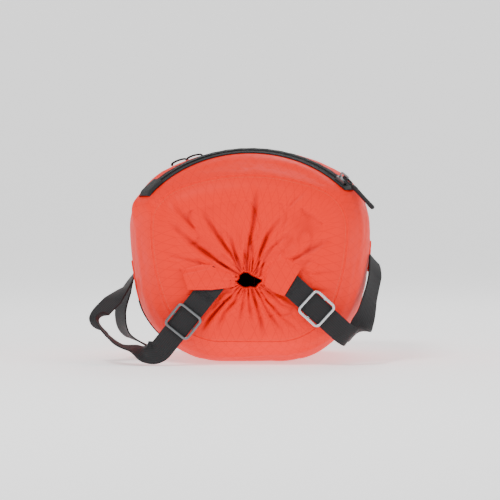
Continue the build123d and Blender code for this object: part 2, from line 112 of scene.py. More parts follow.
def edit(piece, *steps):
    """Runs edit mode operators on the whole piece."""
    pick(piece)
    bpy.ops.object.mode_set(mode="EDIT")
    bpy.ops.mesh.select_all(action="SELECT")
    for step in steps:
        step()
    bpy.ops.object.mode_set(mode="OBJECT")


def flip(piece):
    edit(piece, bpy.ops.mesh.flip_normals)


def finish_modifier(piece, kind, **values):
    pick(piece)
    modifier = piece.modifiers.new(kind.title(), kind)
    for key, value in values.items():
        setattr(modifier, key, value)
    bpy.ops.object.modifier_apply(modifier=modifier.name)


def round_edges(piece, width):
    """Rounds the sharp edges only."""
    finish_modifier(piece, "BEVEL", width=width * MM, segments=2, limit_method="ANGLE",
                    angle_limit=math.radians(60))


def recoat(piece, material):
    piece.data.materials.clear()
    piece.data.materials.append(material)


def dress(piece, body, slot, *replaced):
    """Every piece rides on a body and may stand for frame nodes; the slot argument is not used."""
    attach(piece, body)
    if replaced:
        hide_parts(*replaced)
    print("made", piece.name, len(piece.data.polygons), "faces")
    return piece


def join(pieces, name):
    clear_selection()
    for piece in pieces:
        piece.select_set(True)
    bpy.context.view_layer.objects.active = pieces[0]
    bpy.ops.object.join()
    pieces[0].name = pieces[0].data.name = name
    return pieces[0]


# %% [markdown]
# ## Finishes
# Coated ripstop is a thin shiny cloth with a net of thicker threads. Two families of slanted
# lines on the panel's own UVs draw that net. Each panel also stores how deep a point sits in a
# fold, and the colour is painted a deeper red there as painted shade.

# %% Shared effects
def new_group(name, inputs, outputs):
    group = bpy.data.node_groups.new(name, "ShaderNodeTree")
    for socket, kind, value in inputs:
        item = group.interface.new_socket(socket, in_out="INPUT", socket_type=kind)
        if value is not None:
            item.default_value = value
    for socket, kind in outputs:
        group.interface.new_socket(socket, in_out="OUTPUT", socket_type=kind)
    start = group.nodes.new("NodeGroupInput")
    end = group.nodes.new("NodeGroupOutput")
    return group, start, end


def wire(tree, kind, operation=None, values=None, **links):
    """Adds one node; values fill its sockets by number, links by the names a0, a1 and so on."""
    node = tree.nodes.new(kind)
    if operation:
        node.operation = operation
    for key, value in (values or {}).items():
        node.inputs[key].default_value = value
    for key, source in links.items():
        tree.links.new(source, node.inputs[int(key[1:])])
    return node


def calc(tree, operation, values=None, **links):
    return wire(tree, "ShaderNodeMath", operation, values, **links).outputs[0]


def thread_net():
    """Net of slanted rib threads: a mask that is 1 on a thread."""
    group, start, end = new_group("thread_net", [
        ("Vector", "NodeSocketVector", None),
        ("Pitch", "NodeSocketFloat", 0.011),
        ("Lean", "NodeSocketFloat", 0.5),
        ("Thread", "NodeSocketFloat", 0.07)], [("Mask", "NodeSocketFloat")])
    across, along, _ = wire(group, "ShaderNodeSeparateXYZ", a0=start.outputs["Vector"]).outputs
    lines = []
    for side in (-1, 1):
        leaned = calc(group, "MULTIPLY", a0=along, a1=start.outputs["Lean"])
        place = calc(group, "ADD", a0=across, a1=calc(group, "MULTIPLY", {1: side}, a0=leaned))
        turns = calc(group, "DIVIDE", a0=place, a1=start.outputs["Pitch"])
        bounce = calc(group, "PINGPONG", {1: 0.5}, a0=turns)
        lines.append(calc(group, "LESS_THAN", a0=bounce, a1=start.outputs["Thread"]))
    both = calc(group, "MAXIMUM", a0=lines[0], a1=lines[1])
    group.links.new(both, end.inputs["Mask"])
    return group


def rib_weave():
    """Woven ribs: a height that rises on each warp rib and dips at each weft crossing."""
    group, start, end = new_group("rib_weave", [
        ("Vector", "NodeSocketVector", None),
        ("Rib", "NodeSocketFloat", 0.0016),
        ("Pick", "NodeSocketFloat", 0.0012)], [("Height", "NodeSocketFloat")])
    across, along, _ = wire(group, "ShaderNodeSeparateXYZ", a0=start.outputs["Vector"]).outputs
    rib_wave = calc(group, "PINGPONG", {1: 0.5}, a0=calc(group, "DIVIDE", a0=across, a1=start.outputs["Rib"]))
    turn = calc(group, "DIVIDE", a0=along, a1=start.outputs["Pick"])
    pick_wave = calc(group, "PINGPONG", {1: 0.5}, a0=calc(group, "ADD", a0=turn, a1=rib_wave))
    product = calc(group, "MULTIPLY", a0=rib_wave, a1=pick_wave)
    group.links.new(calc(group, "ADD", a0=product, a1=rib_wave), end.inputs["Height"])
    return group


def drift():
    """Slow change over the surface, from 0 to 1, for colour and gloss."""
    group, start, end = new_group("drift", [
        ("Vector", "NodeSocketVector", None),
        ("Scale", "NodeSocketFloat", 20.0)], [("Value", "NodeSocketFloat")])
    cloud = wire(group, "ShaderNodeTexNoise", None, {"Detail": 4.0, "Roughness": 0.6})
    group.links.new(start.outputs["Vector"], cloud.inputs["Vector"])
    group.links.new(start.outputs["Scale"], cloud.inputs["Scale"])
    group.links.new(cloud.outputs["Fac"], end.inputs["Value"])
    return group


THREAD_NET, RIB_WEAVE, DRIFT = thread_net(), rib_weave(), drift()
print("effects", THREAD_NET.name, RIB_WEAVE.name, DRIFT.name)


# %% Building blocks of a material
def new_material(name, roughness, **fixed):
    material = bpy.data.materials.new(name)
    material.use_nodes = True
    tree = material.node_tree
    shader = tree.nodes["Principled BSDF"]
    shader.inputs["Roughness"].default_value = roughness
    for key, value in fixed.items():
        shader.inputs[key.replace("_", " ")].default_value = value
    return material, tree, shader


def use_group(tree, group, vector, **values):
    node = tree.nodes.new("ShaderNodeGroup")
    node.node_tree = group
    tree.links.new(vector, node.inputs["Vector"])
    for key, value in values.items():
        node.inputs[key].default_value = value
    return node


def mix_colour(tree, factor, dark, light):
    node = tree.nodes.new("ShaderNodeMix")
    node.data_type = "RGBA"
    for socket, value in ((6, dark), (7, light)):
        if isinstance(value, tuple):
            node.inputs[socket].default_value = (*value, 1)
        else:
            tree.links.new(value, node.inputs[socket])
    tree.links.new(factor, node.inputs[0])
    return node.outputs[2]


def spread(tree, value, low, high):
    """Maps 0..1 to low..high."""
    return wire(tree, "ShaderNodeMapRange", None, {3: low, 4: high}, a0=value).outputs[0]


def add_bump(tree, shader, height, distance, strength=1.0, under=None):
    node = wire(tree, "ShaderNodeBump", None, {"Strength": strength, "Distance": distance})
    tree.links.new(height, node.inputs["Height"])
    if under:
        tree.links.new(under, node.inputs["Normal"])
    tree.links.new(node.outputs[0], shader.inputs["Normal"])
    return node.outputs[0]


# %% [markdown]
# The orange cloth mixes three colours: a warm flat, a redder thread net and a deep red painted
# shade that only shows where the stored fold value is high, in folds and on the lip that turns
# into the mouth. Two bumps follow, one for paper-like crumple and one for the threads.

# %% Orange ripstop
FLAT_ORANGE = (0.94, 0.010, 0.0010)
LIGHT_ORANGE = (0.96, 0.016, 0.002)
NET_ORANGE = (0.64, 0.006, 0.0006)
# Painted shade: deep red laid into the folds and onto the lip that turns into the mouth.
FOLD_SHADE_RED = (0.40, 0.002, 0.002)


def ripstop_material(name, pitch=0.0115, crumple=0.0011):
    material, tree, shader = new_material(name, 0.5, Specular_IOR_Level=0.16)
    uv = tree.nodes.new("ShaderNodeUVMap").outputs[0]
    place = tree.nodes.new("ShaderNodeTexCoord").outputs["Object"]
    net = use_group(tree, THREAD_NET, uv, Pitch=pitch, Lean=0.55, Thread=0.045)
    cloud = use_group(tree, DRIFT, place, Scale=9.0)
    creased = use_group(tree, DRIFT, place, Scale=75.0)
    flat = mix_colour(tree, cloud.outputs[0], FLAT_ORANGE, LIGHT_ORANGE)
    netted = mix_colour(tree, spread(tree, net.outputs[0], 0.0, 0.22), flat, NET_ORANGE)
    # Painted shade: the stored fold value mixes the colour towards the deep red.
    fold_shade = tree.nodes.new("ShaderNodeAttribute")
    fold_shade.attribute_name = "fold_shade"
    fold_shaded = mix_colour(tree, fold_shade.outputs["Fac"], netted, FOLD_SHADE_RED)
    tree.links.new(fold_shaded, shader.inputs["Base Color"])
    tree.links.new(spread(tree, cloud.outputs[0], 0.42, 0.62), shader.inputs["Roughness"])
    under = add_bump(tree, shader, creased.outputs[0], crumple, 0.55)
    add_bump(tree, shader, net.outputs[0], 0.00012, 0.5, under)
    return material


ripstop = ripstop_material("ripstop_orange")
ripstop_side = ripstop_material("ripstop_orange_side", crumple=0.0016)
print("cloth colours", FLAT_ORANGE, FOLD_SHADE_RED)

# %% [markdown]
# Webbing is black nylon with ribs along its length. Its ribs come from the piece's own UVs, so
# they follow each bend. Zip tape is the same weave on a smaller pitch.

# %% Black weaves, rubber and metals
def webbing_material(name, rib, pick_pitch, dark, light, roughness):
    material, tree, shader = new_material(name, roughness, Sheen_Weight=0.06, Specular_IOR_Level=0.3)
    uv = tree.nodes.new("ShaderNodeUVMap").outputs[0]
    weave = use_group(tree, RIB_WEAVE, uv, Rib=rib, Pick=pick_pitch)
    place = tree.nodes.new("ShaderNodeTexCoord").outputs["Object"]
    dust = use_group(tree, DRIFT, place, Scale=60.0)
    worn = mix_colour(tree, weave.outputs[0], dark, light)
    tree.links.new(mix_colour(tree, spread(tree, dust.outputs[0], 0.0, 0.5), worn, light),
                   shader.inputs["Base Color"])
    tree.links.new(spread(tree, dust.outputs[0], roughness - 0.1, roughness + 0.1),
                   shader.inputs["Roughness"])
    add_bump(tree, shader, weave.outputs[0], 0.0004, 0.8)
    return material


def solid_weave_material(name, dark, light, scale, roughness):
    """Woven look for frame pieces that have no UVs: fine noise on object coordinates."""
    material, tree, shader = new_material(name, roughness, Specular_IOR_Level=0.3)
    place = tree.nodes.new("ShaderNodeTexCoord").outputs["Object"]
    grain = use_group(tree, DRIFT, place, Scale=scale)
    tree.links.new(mix_colour(tree, grain.outputs[0], dark, light), shader.inputs["Base Color"])
    tree.links.new(spread(tree, grain.outputs[0], roughness - 0.08, roughness + 0.08),
                   shader.inputs["Roughness"])
    add_bump(tree, shader, grain.outputs[0], 0.0004, 0.5)
    return material


def metal_material(name, dark, light, low, high):
    material, tree, shader = new_material(name, low, Metallic=1.0)
    place = tree.nodes.new("ShaderNodeTexCoord").outputs["Object"]
    scuff = use_group(tree, DRIFT, place, Scale=180.0)
    broad = use_group(tree, DRIFT, place, Scale=35.0)
    tree.links.new(mix_colour(tree, broad.outputs[0], dark, light), shader.inputs["Base Color"])
    tree.links.new(spread(tree, scuff.outputs[0], low, high), shader.inputs["Roughness"])
    add_bump(tree, shader, scuff.outputs[0], 0.00008, 0.3)
    return material


webbing = webbing_material("webbing_black", 0.0021, 0.0013,
                           (0.004, 0.004, 0.0045), (0.018, 0.018, 0.020), 0.62)
zip_weave = webbing_material("zip_tape_black", 0.0011, 0.0008,
                             (0.004, 0.004, 0.0045), (0.015, 0.015, 0.016), 0.6)
coil_plastic, liner_black_and_shade, elastic, rubber, cord_black, orange_thread, black_thread = (
    solid_weave_material(*values) for values in (
        ("zip_coil_nylon", (0.010, 0.010, 0.011), (0.030, 0.030, 0.033), 90.0, 0.38),
        # The liner's near-black is partly the sack's dark inside and partly painted shade in the mouth.
        ("liner_black_and_mouth_shade", (0.002, 0.002, 0.0025), (0.008, 0.007, 0.008), 300.0, 0.9),
        ("elastic_black", (0.006, 0.006, 0.007), (0.02, 0.02, 0.022), 700.0, 0.8),
        ("grip_rubber", (0.008, 0.008, 0.009), (0.022, 0.022, 0.024), 400.0, 0.55),
        ("pull_cord_black", (0.006, 0.006, 0.007), (0.03, 0.03, 0.032), 900.0, 0.7),
        ("thread_orange", (0.72, 0.05, 0.02), (0.92, 0.13, 0.07), 900.0, 0.6),
        ("thread_black", (0.012, 0.012, 0.013), (0.05, 0.05, 0.055), 900.0, 0.6)))
left_buckle_metal, right_buckle_metal, slider_metal = (
    metal_material(*values) for values in (
        # The left buckle's metal colour is darker than the right one's.
        ("left_buckle_darker", (0.10, 0.105, 0.11), (0.24, 0.25, 0.26), 0.22, 0.4),
        ("right_buckle_brighter", (0.42, 0.44, 0.46), (0.68, 0.70, 0.72), 0.16, 0.34),
        ("slider_grey", (0.16, 0.165, 0.17), (0.34, 0.35, 0.36), 0.25, 0.45)))
print("materials", len(bpy.data.materials))

# %% [markdown]
# ## The sack's outline
# Seen from the mouth, the stuffed sack is a rounded barrel: a flat rest, two round corners,
# slack flanks, round shoulders and a slow crown. Every arc keeps its centre while the cloth
# turns inwards, so one list of columns serves the walls, the rims and both ends.

# %% Columns round the sack
HALF_WIDTH, HEIGHT = 133.0, 233.5
CORNER, FLAT_HALF = 92.40, 30.49
FLANK, FLANK_TURN = 260.0, 20.0
SHOULDER, SHOULDER_X, SHOULDER_Z = 71.90, 61.10, 149.72
CROWN, CROWN_TURN = 235.0, 22.0
MIDDLE = HEIGHT / 2
MOUTH = (0.0, 92.0)


def outline_columns(count):
    """Centre, radius and direction of each column, evenly spaced round the outline."""
    flank_x = HALF_WIDTH - FLANK
    arcs = [("flat", 0, FLAT_HALF),
            (FLAT_HALF, CORNER, CORNER, 180, 90 + FLANK_TURN),
            (flank_x, SHOULDER_Z, FLANK, 90 + FLANK_TURN, 90),
            (SHOULDER_X, SHOULDER_Z, SHOULDER, 90, CROWN_TURN),
            (0, HEIGHT - CROWN, CROWN, CROWN_TURN, -CROWN_TURN),
            (-SHOULDER_X, SHOULDER_Z, SHOULDER, -CROWN_TURN, -90),
            (-flank_x, SHOULDER_Z, FLANK, -90, -90 - FLANK_TURN),
            (-FLAT_HALF, CORNER, CORNER, -90 - FLANK_TURN, -180),
            ("flat", -FLAT_HALF, 0)]
    rows = []
    for arc in arcs:
        if arc[0] == "flat":
            length = abs(arc[2] - arc[1])
            steps = np.linspace(0, 1, max(2, int(length * 4)))
            rows += [(arc[1] + (arc[2] - arc[1]) * s, CORNER, CORNER, 180.0) for s in steps]
        else:
            length = arc[2] * abs(math.radians(arc[4] - arc[3]))
            steps = np.linspace(0, 1, max(2, int(length * 4)))
            rows += [(arc[0], arc[1], arc[2], arc[3] + (arc[4] - arc[3]) * s) for s in steps]
    rows = np.array(rows)
    turn = np.radians(rows[:, 3])
    path = np.stack([rows[:, 0] + rows[:, 2] * np.sin(turn),
                     rows[:, 1] + rows[:, 2] * np.cos(turn)], 1)
    gaps = np.linalg.norm(np.diff(path, axis=0), axis=1)
    keep = np.concatenate([[True], gaps > 1e-6])
    rows, run = rows[keep], np.concatenate([[0], np.cumsum(gaps[gaps > 1e-6])])
    wanted = np.linspace(0, run[-1], count + 1)
    rows[:, 3] = np.where(rows[:, 3] < -179.999, 180.0, rows[:, 3])
    spun = np.degrees(np.unwrap(np.radians(rows[:, 3])))
    picked = [np.interp(wanted, run, rows[:, k]) for k in range(3)]
    turn = np.radians(np.interp(wanted, run, spun))
    return np.array([picked[0], picked[1], picked[2], np.sin(turn), np.cos(turn), wanted])


def wall_point(columns, column, y, inset):
    """Points of the wall in millimetres, drawn in by inset."""
    cx, cz, radius, dx, dz, _ = columns[:, column]
    x, z = cx + (radius - inset) * dx, cz + (radius - inset) * dz
    return np.stack([x, np.broadcast_to(y, x.shape), z], -1)


girth = outline_columns(720)[5, -1]
print("girth of the sack in mm", round(girth, 1))

# %% [markdown]
# ## The zip's path
# The zip lies on a leaning cone over the top of the sack. Its tapes are flat, the cloth is
# not, so the cloth is drawn to the tape: a point near the zip moves until it sits just under
# it, and the pull fades over a few centimetres, as on sewn cloth.

# %% Zip coordinates and the pull of the tape
ZIP_TILT, ZIP_CONE, ZIP_RADIUS = math.radians(32.2), math.radians(45.6), 142.0
ZIP_UP = np.array([0, math.sin(ZIP_TILT), math.cos(ZIP_TILT)])
ZIP_AXIS = np.array([0, math.cos(ZIP_TILT), -math.sin(ZIP_TILT)])
ZIP_CENTRE = np.array([0, -185.668, 113.741])


def zip_point(angle, across, height):
    angle = np.radians(angle)[..., None]
    out = np.array([1.0, 0, 0]) * np.sin(angle) + ZIP_UP * np.cos(angle)
    side = out * math.sin(ZIP_CONE) + ZIP_AXIS * math.cos(ZIP_CONE)
    lift = out * math.cos(ZIP_CONE) - ZIP_AXIS * math.sin(ZIP_CONE)
    return (ZIP_CENTRE + out * ZIP_RADIUS + side * np.asarray(across)[..., None]
            + lift * np.asarray(height)[..., None])


def zip_measure(points):
    """Angle along the zip, distance across it and height over it."""
    local = points - ZIP_CENTRE
    axial = local @ ZIP_AXIS
    radial = local - axial[..., None] * ZIP_AXIS
    reach = np.linalg.norm(radial, axis=-1)
    out = radial / reach[..., None]
    angle = np.degrees(np.arctan2(out[..., 0], out @ ZIP_UP))
    across = (reach - ZIP_RADIUS) * math.sin(ZIP_CONE) + axial * math.cos(ZIP_CONE)
    height = (reach - ZIP_RADIUS) * math.cos(ZIP_CONE) - axial * math.sin(ZIP_CONE)
    lift = out * math.cos(ZIP_CONE) - ZIP_AXIS * math.sin(ZIP_CONE)
    return angle, across, height, lift


def smooth_step(low, high, value):
    t = np.clip((value - low) / (high - low), 0, 1)
    return t * t * (3 - 2 * t)


def draw_to_zip(points):
    """Moves cloth onto the underside of the tapes."""
    angle, across, height, lift = zip_measure(points)
    near = 1 - smooth_step(12.5, 32.0, np.abs(across))
    near = near * smooth_step(-66.0, -56.0, angle) * (1 - smooth_step(50.5, 58.0, angle))
    near = np.where(height < -25, 0, near)
    return points + lift * (near * (-0.35 - height))[..., None]


print("zip length in mm", round(math.radians(101.5) * ZIP_RADIUS, 1))

# %% [markdown]
# ## Folds
# The mouth is drawn shut by elastic. Cloth that is longer than the ring it is gathered on
# stands in ridges: many fine ones at the ring, which join into fewer long ones and die out at
# the rim. A rounded ridge with a narrow valley reads as cloth, so waves are built from the
# absolute value of a sine. A few strong folds have a line of their own.

# %% Fold lines on the front: depth, width and (x, z) points from the mouth outwards, in mm
LONG_FOLDS = [
    (4.2, 2.6, [(-2.7, 104), (-0.6, 129), (5.1, 158), (7.7, 188), (6.0, 206)]),
    (2.6, 2.0, [(-5.8, 105), (-4.4, 122), (-2.7, 139), (-3.5, 158)]),
    (3.2, 2.0, [(-8.7, 104), (-14.4, 120), (-20, 138), (-27, 151)]),
    (4.0, 2.4, [(-9.6, 102), (-20, 122), (-34, 141), (-48, 163), (-54, 176)]),
    (4.0, 2.6, [(-11, 99.5), (-34, 113), (-53, 127), (-79, 148), (-96, 167)]),
    (3.2, 2.4, [(-13, 97), (-27, 103), (-56, 112), (-86, 120), (-105, 134)]),
    (2.6, 2.2, [(-14, 96), (-34, 101), (-53, 113), (-73, 129)]),
    (2.4, 1.8, [(3.4, 103), (4.2, 122), (1.6, 136), (-9.6, 175)]),
    (3.8, 2.6, [(7.7, 101), (12.9, 125), (20.6, 143), (32, 158), (42, 167)]),
    (2.8, 2.2, [(12.0, 98), (16.3, 115), (25, 129), (42, 143), (56, 158)]),
    (3.6, 2.6, [(14.5, 94.4), (25, 105), (42, 113), (59, 122), (85, 136), (92, 141)]),
    (2.8, 2.2, [(14.8, 93), (35, 101), (53, 109), (77, 122)]),
    (2.6, 2.0, [(13, 87.5), (25, 77), (35, 67), (46, 63), (58, 61)]),
    (3.0, 2.2, [(11, 85), (20, 70), (32, 60), (49, 51)]),
    (4.0, 2.4, [(7.7, 83), (14.6, 70), (22, 56), (35, 39), (44, 25)]),
    (4.4, 2.6, [(3.4, 83), (7.7, 67), (13, 49), (16, 29), (16, 10)]),
    (3.0, 2.0, [(-1, 83), (0, 68), (2.5, 53), (7.7, 37)]),
    (2.6, 2.0, [(-4.4, 83.5), (-7, 68), (-9.6, 51), (-9.6, 39)]),
    (3.8, 2.4, [(-8.7, 84), (-16, 70), (-27, 58), (-34, 43), (-37, 29)]),
    (3.4, 2.4, [(-11, 86), (-23, 72), (-37, 58), (-49, 43), (-58, 22)]),
    (2.6, 2.0, [(-13, 87.5), (-27, 79), (-41, 72), (-54, 63)]),
    (2.4, 2.4, [(-15, 92), (-34, 94), (-58, 98), (-79, 105), (-99, 112)]),
    (2.8, 2.2, [(-27, 69), (-41, 53), (-53, 37), (-56, 18)]),
    (2.6, 2.2, [(18, 72), (35, 53), (53, 39), (73, 29)]),
    (1.8, 3.0, [(-70, 62), (-88, 66), (-112, 68)]),
    (1.6, 3.0, [(68, 100), (90, 102), (112, 98)]),
    (1.6, 3.0, [(60, 84), (86, 80), (108, 76)]),
    (1.8, 3.4, [(-60, 150), (-80, 172), (-92, 188)]),
    (1.6, 3.4, [(45, 175), (60, 190), (72, 198)]),
]
MOUTH_RING = [(-15.0, 91.3), (-11.6, 95.4), (-11.8, 98.5), (-9.7, 100.3), (-6.6, 102.6), (-1.6, 102.2),
              (3.4, 99.1), (9.6, 96.0), (14.3, 93.5), (14.6, 91.6), (10.8, 88.5), (7.7, 84.2),
              (4.0, 84.5), (0.9, 85.1), (-1.6, 83.9), (-6.6, 84.2), (-10.3, 86.7), (-12.8, 88.5)]


def fold_depth(x, z):
    """How far the long folds sink at (x, z), in millimetres."""
    depth = np.zeros_like(x)
    for deep, width, line in LONG_FOLDS:
        line = np.array(line, float)
        best = np.full(x.shape, 1e9)
        side = np.zeros_like(x)
        along = np.zeros_like(x)
        for k in range(len(line) - 1):
            a, b = line[k], line[k + 1]
            step = b - a
            t = np.clip(((x - a[0]) * step[0] + (z - a[1]) * step[1]) / step.dot(step), 0, 1)
            off_x, off_z = x - a[0] - t * step[0], z - a[1] - t * step[1]
            gap = np.hypot(off_x, off_z)
            closer = gap < best
            best = np.where(closer, gap, best)
            turn = (step[0] * off_z - step[1] * off_x) / np.linalg.norm(step)
            side = np.where(closer, turn, side)
            along = np.where(closer, (k + t) / (len(line) - 1), along)
        fade = 1 - smooth_step(0.45, 1.0, along)
        width = width * (0.55 + 1.3 * along)
        valley = np.exp(-(best / width) ** 2 * 1.6)
        ridge = np.exp(-((side - 2.0 * width) / (1.6 * width)) ** 2) * (best < 6 * width)
        depth += deep * fade * (valley - 0.42 * ridge)
    return depth


def pleats(turn, reach, count, wander, seed):
    """Rounded ridges with narrow valleys, count of them round the mouth."""
    warp = sum(math.sin(seed * (k + 1) * 1.7) * np.sin((k + 2) * turn + seed * k) / (k + 2)
               for k in range(5))
    phase = (turn + 0.16 * warp) * count / 2 + wander * np.sin(3 * turn + 5 * reach + seed)
    return 1 - np.abs(np.sin(phase)) ** 0.75


print("long folds", len(LONG_FOLDS))

# %% [markdown]
# ## The gathered front
# One panel runs from the rim seam over the round edge, across the face and in through the
# mouth. Its columns leave the outline and end on the drawn-up ring, so every fold runs the way
# the cloth does. Where a strap is sewn on, the cloth lies flat and gives the strap room.

# %% Front panel
FRONT_COLUMNS, FACE_ROWS, EDGE_ROWS, LIP_ROWS = 720, 84, 22, 12
SEAM_INSET, SEAM_Y = 25.73, -160.71
RIM_INSET, RIM_Y, RIM_SWEEP = 52.54, -138.21, 35.0
FACE_Y = -173.21
STRAP_ZONES = [((26, 106), (100, 38)), ((-29, 101), (-96, 17.5)),
               ((22, 95), (50, 90)), ((-22, 95), (-68, 95))]
# Pleats stand in three rings round the mouth. Each has a depth in mm, the reach where it peaks
# and how far it spreads, then the count, wander and seed of its waves. The first is the finest.
PLEAT_RINGS = [(2.9, 0.0, 0.13, 46, 0.25, 1.3), (3.0, 0.14, 0.17, 27, 0.5, 2.1),
               (2.1, 0.42, 0.26, 15, 0.7, 4.2)]
# Beside the mouth the cloth may sink only MOUTH_SINK, or the elastic behind it would show.
MOUTH_SINK, SINK_SLOPE, MOUTH_REACH = 1.6, 30.0, 0.13
TOP_LIFT, FULL_FOLD, DOME, LIP_CURL = 4.2, 4.2, 3.4, 2.6


def strap_cover(x, z):
    """1 under a strap, falling to 0 beside it."""
    cover = np.zeros_like(x)
    for a, b in STRAP_ZONES:
        step = np.array(b, float) - a
        t = np.clip(((x - a[0]) * step[0] + (z - a[1]) * step[1]) / step.dot(step), 0, 1)
        gap = np.hypot(x - a[0] - t * step[0], z - a[1] - t * step[1])
        cover = np.maximum(cover, 1 - smooth_step(13.5, 22.0, gap))
    return cover


def ring_point(turn):
    ring = np.array(MOUTH_RING)
    angles = np.arctan2(ring[:, 1] - MOUTH[1], ring[:, 0] - MOUTH[0])
    order = np.argsort(angles)
    angles, ring = angles[order], ring[order]
    angles = np.concatenate([angles - 2 * math.pi, angles, angles + 2 * math.pi])
    ring = np.concatenate([ring, ring, ring])
    return np.interp(turn, angles, ring[:, 0]), np.interp(turn, angles, ring[:, 1])


def noise_over(x, z, scale, y_shift, z_shift=0.0):
    return np.array([noise.noise(Vector((a * scale, y_shift, b * scale + z_shift))) for a, b in zip(x, z)])


def front_panel():
    columns = outline_columns(FRONT_COLUMNS)
    rim = wall_point(columns, np.arange(FRONT_COLUMNS + 1), FACE_Y, RIM_INSET)
    turn = np.arctan2(rim[:, 2] - MOUTH[1], rim[:, 0] - MOUTH[0])
    ring_x, ring_z = ring_point(turn)
    shade_values = {}

    def place(column, row):
        edge = row <= EDGE_ROWS
        sweep = np.radians(40 + 50 * np.minimum(row, EDGE_ROWS) / EDGE_ROWS)
        points = wall_point(columns, column, RIM_Y - RIM_SWEEP * np.sin(sweep),
                            RIM_INSET - RIM_SWEEP * np.cos(sweep))
        part = np.clip((row - EDGE_ROWS) / FACE_ROWS, 0, 1)
        reach = (1 - part) ** 1.45
        for axis, ring in ((0, ring_x[column]), (2, ring_z[column])):
            points[:, axis] = np.where(edge, points[:, axis], ring + (rim[column, axis] - ring) * reach)
        angle = turn[column]
        x, z = points[:, 0].copy(), points[:, 2].copy()
        depth = fold_depth(x, z)
        waves = [pleats(angle, reach, *shape) for _, _, _, *shape in PLEAT_RINGS]
        depth += sum(deep * np.exp(-((reach - peak) / span) ** 2) * wave
                     for (deep, peak, span, *_), wave in zip(PLEAT_RINGS, waves))
        spots = noise_over(x, z, 0.021, 3.1)
        small = noise_over(x, z, 0.075, 7.7)
        lines = noise_over(x, z, 0.03, 1.3, 4)
        depth += 1.3 * np.exp(-(lines / 0.05) ** 2) * smooth_step(0.25, 0.6, reach) * (~edge)
        depth += np.where(edge, 0.35, 1.0) * (1.5 * spots + 1.1 * small)
        calm = smooth_step(0, EDGE_ROWS, row)
        dome = DOME * np.sin(np.pi * np.clip(reach, 0, 1)) * (~edge)
        lift = dome - depth * calm
        cover = strap_cover(x, z)
        lift = lift * (1 - cover) + np.minimum(lift, -0.1) * cover
        lift = np.clip(lift, -MOUTH_SINK - SINK_SLOPE * np.maximum(reach - MOUTH_REACH, 0), TOP_LIFT)
        points[:, 1] -= lift
        fold_shade_depth = np.clip(depth * calm / FULL_FOLD, 0, 1)
        lip = np.clip((row - EDGE_ROWS - FACE_ROWS) / LIP_ROWS, 0, 1)
        curl = lip * math.pi * 0.75
        toward = np.stack([np.cos(angle), np.sin(angle)], -1)
        inward = LIP_CURL * np.sin(np.minimum(curl, math.pi / 2)) * (1 - 0.35 * waves[0])
        points[:, 0] -= toward[:, 0] * inward * 0.6
        points[:, 2] -= toward[:, 1] * inward * 0.6
        points[:, 1] += np.where(lip > 0, LIP_CURL * (1 - np.cos(curl)) + 7 * lip, 0)
        points = np.where((row < EDGE_ROWS + 30)[:, None], draw_to_zip(points), points)
        # Painted shade: deep folds and the lip that turns into the mouth store a high value, which turns the
        # cloth deep red.
        shade_values["value"] = np.clip(fold_shade_depth ** 1.3 * 0.85 + 0.7 * lip, 0, 1)
        length = 21 * np.minimum(row, EDGE_ROWS) / EDGE_ROWS + 95 * (1 - reach)
        uv = np.stack([columns[5, column], length], -1) * MM
        return points * MM, uv

    piece = cloth_grid("gathered_front", FRONT_COLUMNS, EDGE_ROWS + FACE_ROWS + LIP_ROWS, place, ripstop)
    layer = piece.data.attributes.new("fold_shade", "FLOAT", "POINT")
    layer.data.foreach_set("value", shade_values["value"])
    edit(piece, lambda: bpy.ops.mesh.remove_doubles(threshold=1e-6))
    return piece


def face_outwards(piece, centre=Vector((0, -0.02, 0.115))):
    total = sum((p.normal.dot(p.center - centre)) * p.area for p in piece.data.polygons)
    if total < 0:
        flip(piece)


front = front_panel()
face_outwards(front)
dress(front, "sack", "ripstop", "mouth_skirt", "mouth_hem")

# %% [markdown]
# ## The barrel
# The wall runs from the rear seam to the rim seam and turns in over the front edge. It is
# stretched over the filling, so it has only shallow swells, small dents between them, and the
# pull of the zip.

# %% Barrel panel
WALL_COLUMNS, WALL_ROWS, ROLL_ROWS = 480, 60, 34
REAR_SEAM_Y, FRONT_JOIN, SHOULDER_SWEEP = 90.0, -90.0, 110.0
SIDE_LENGTH = REAR_SEAM_Y - FRONT_JOIN
SHOULDER_TURN = 40


def swell(points, broad=1.2, small=0.45):
    """Soft bulges and dents, in millimetres along the outward direction."""
    value = []
    for point in points:
        spot = Vector(point)
        line = noise.noise(Vector((point[0] * 0.012, point[1] * 0.02 + 5, point[2] * 0.014)))
        second = noise.noise(Vector((point[0] * 0.022, point[1] * 0.011, point[2] * 0.024 + 9)))
        crease = math.exp(-(line / 0.045) ** 2) + 0.7 * math.exp(-(second / 0.04) ** 2)
        value.append(broad * 1.5 * noise.noise(spot * 0.016) + small * noise.noise(spot * 0.05)
                     - 0.4 * crease)
    return np.array(value)


def seam_puckers(run, gap, seed):
    """Short wrinkles square to a seam, fading with the distance from it."""
    warp = np.array([noise.noise(Vector((r * 0.02, seed, 0))) for r in run])
    beat = np.abs(np.sin(run * 0.16 + 5 * warp)) ** 0.7
    return -1.9 * (1 - beat) * np.exp(-gap / 15) * (0.55 + warp) * smooth_step(0, 4, gap)


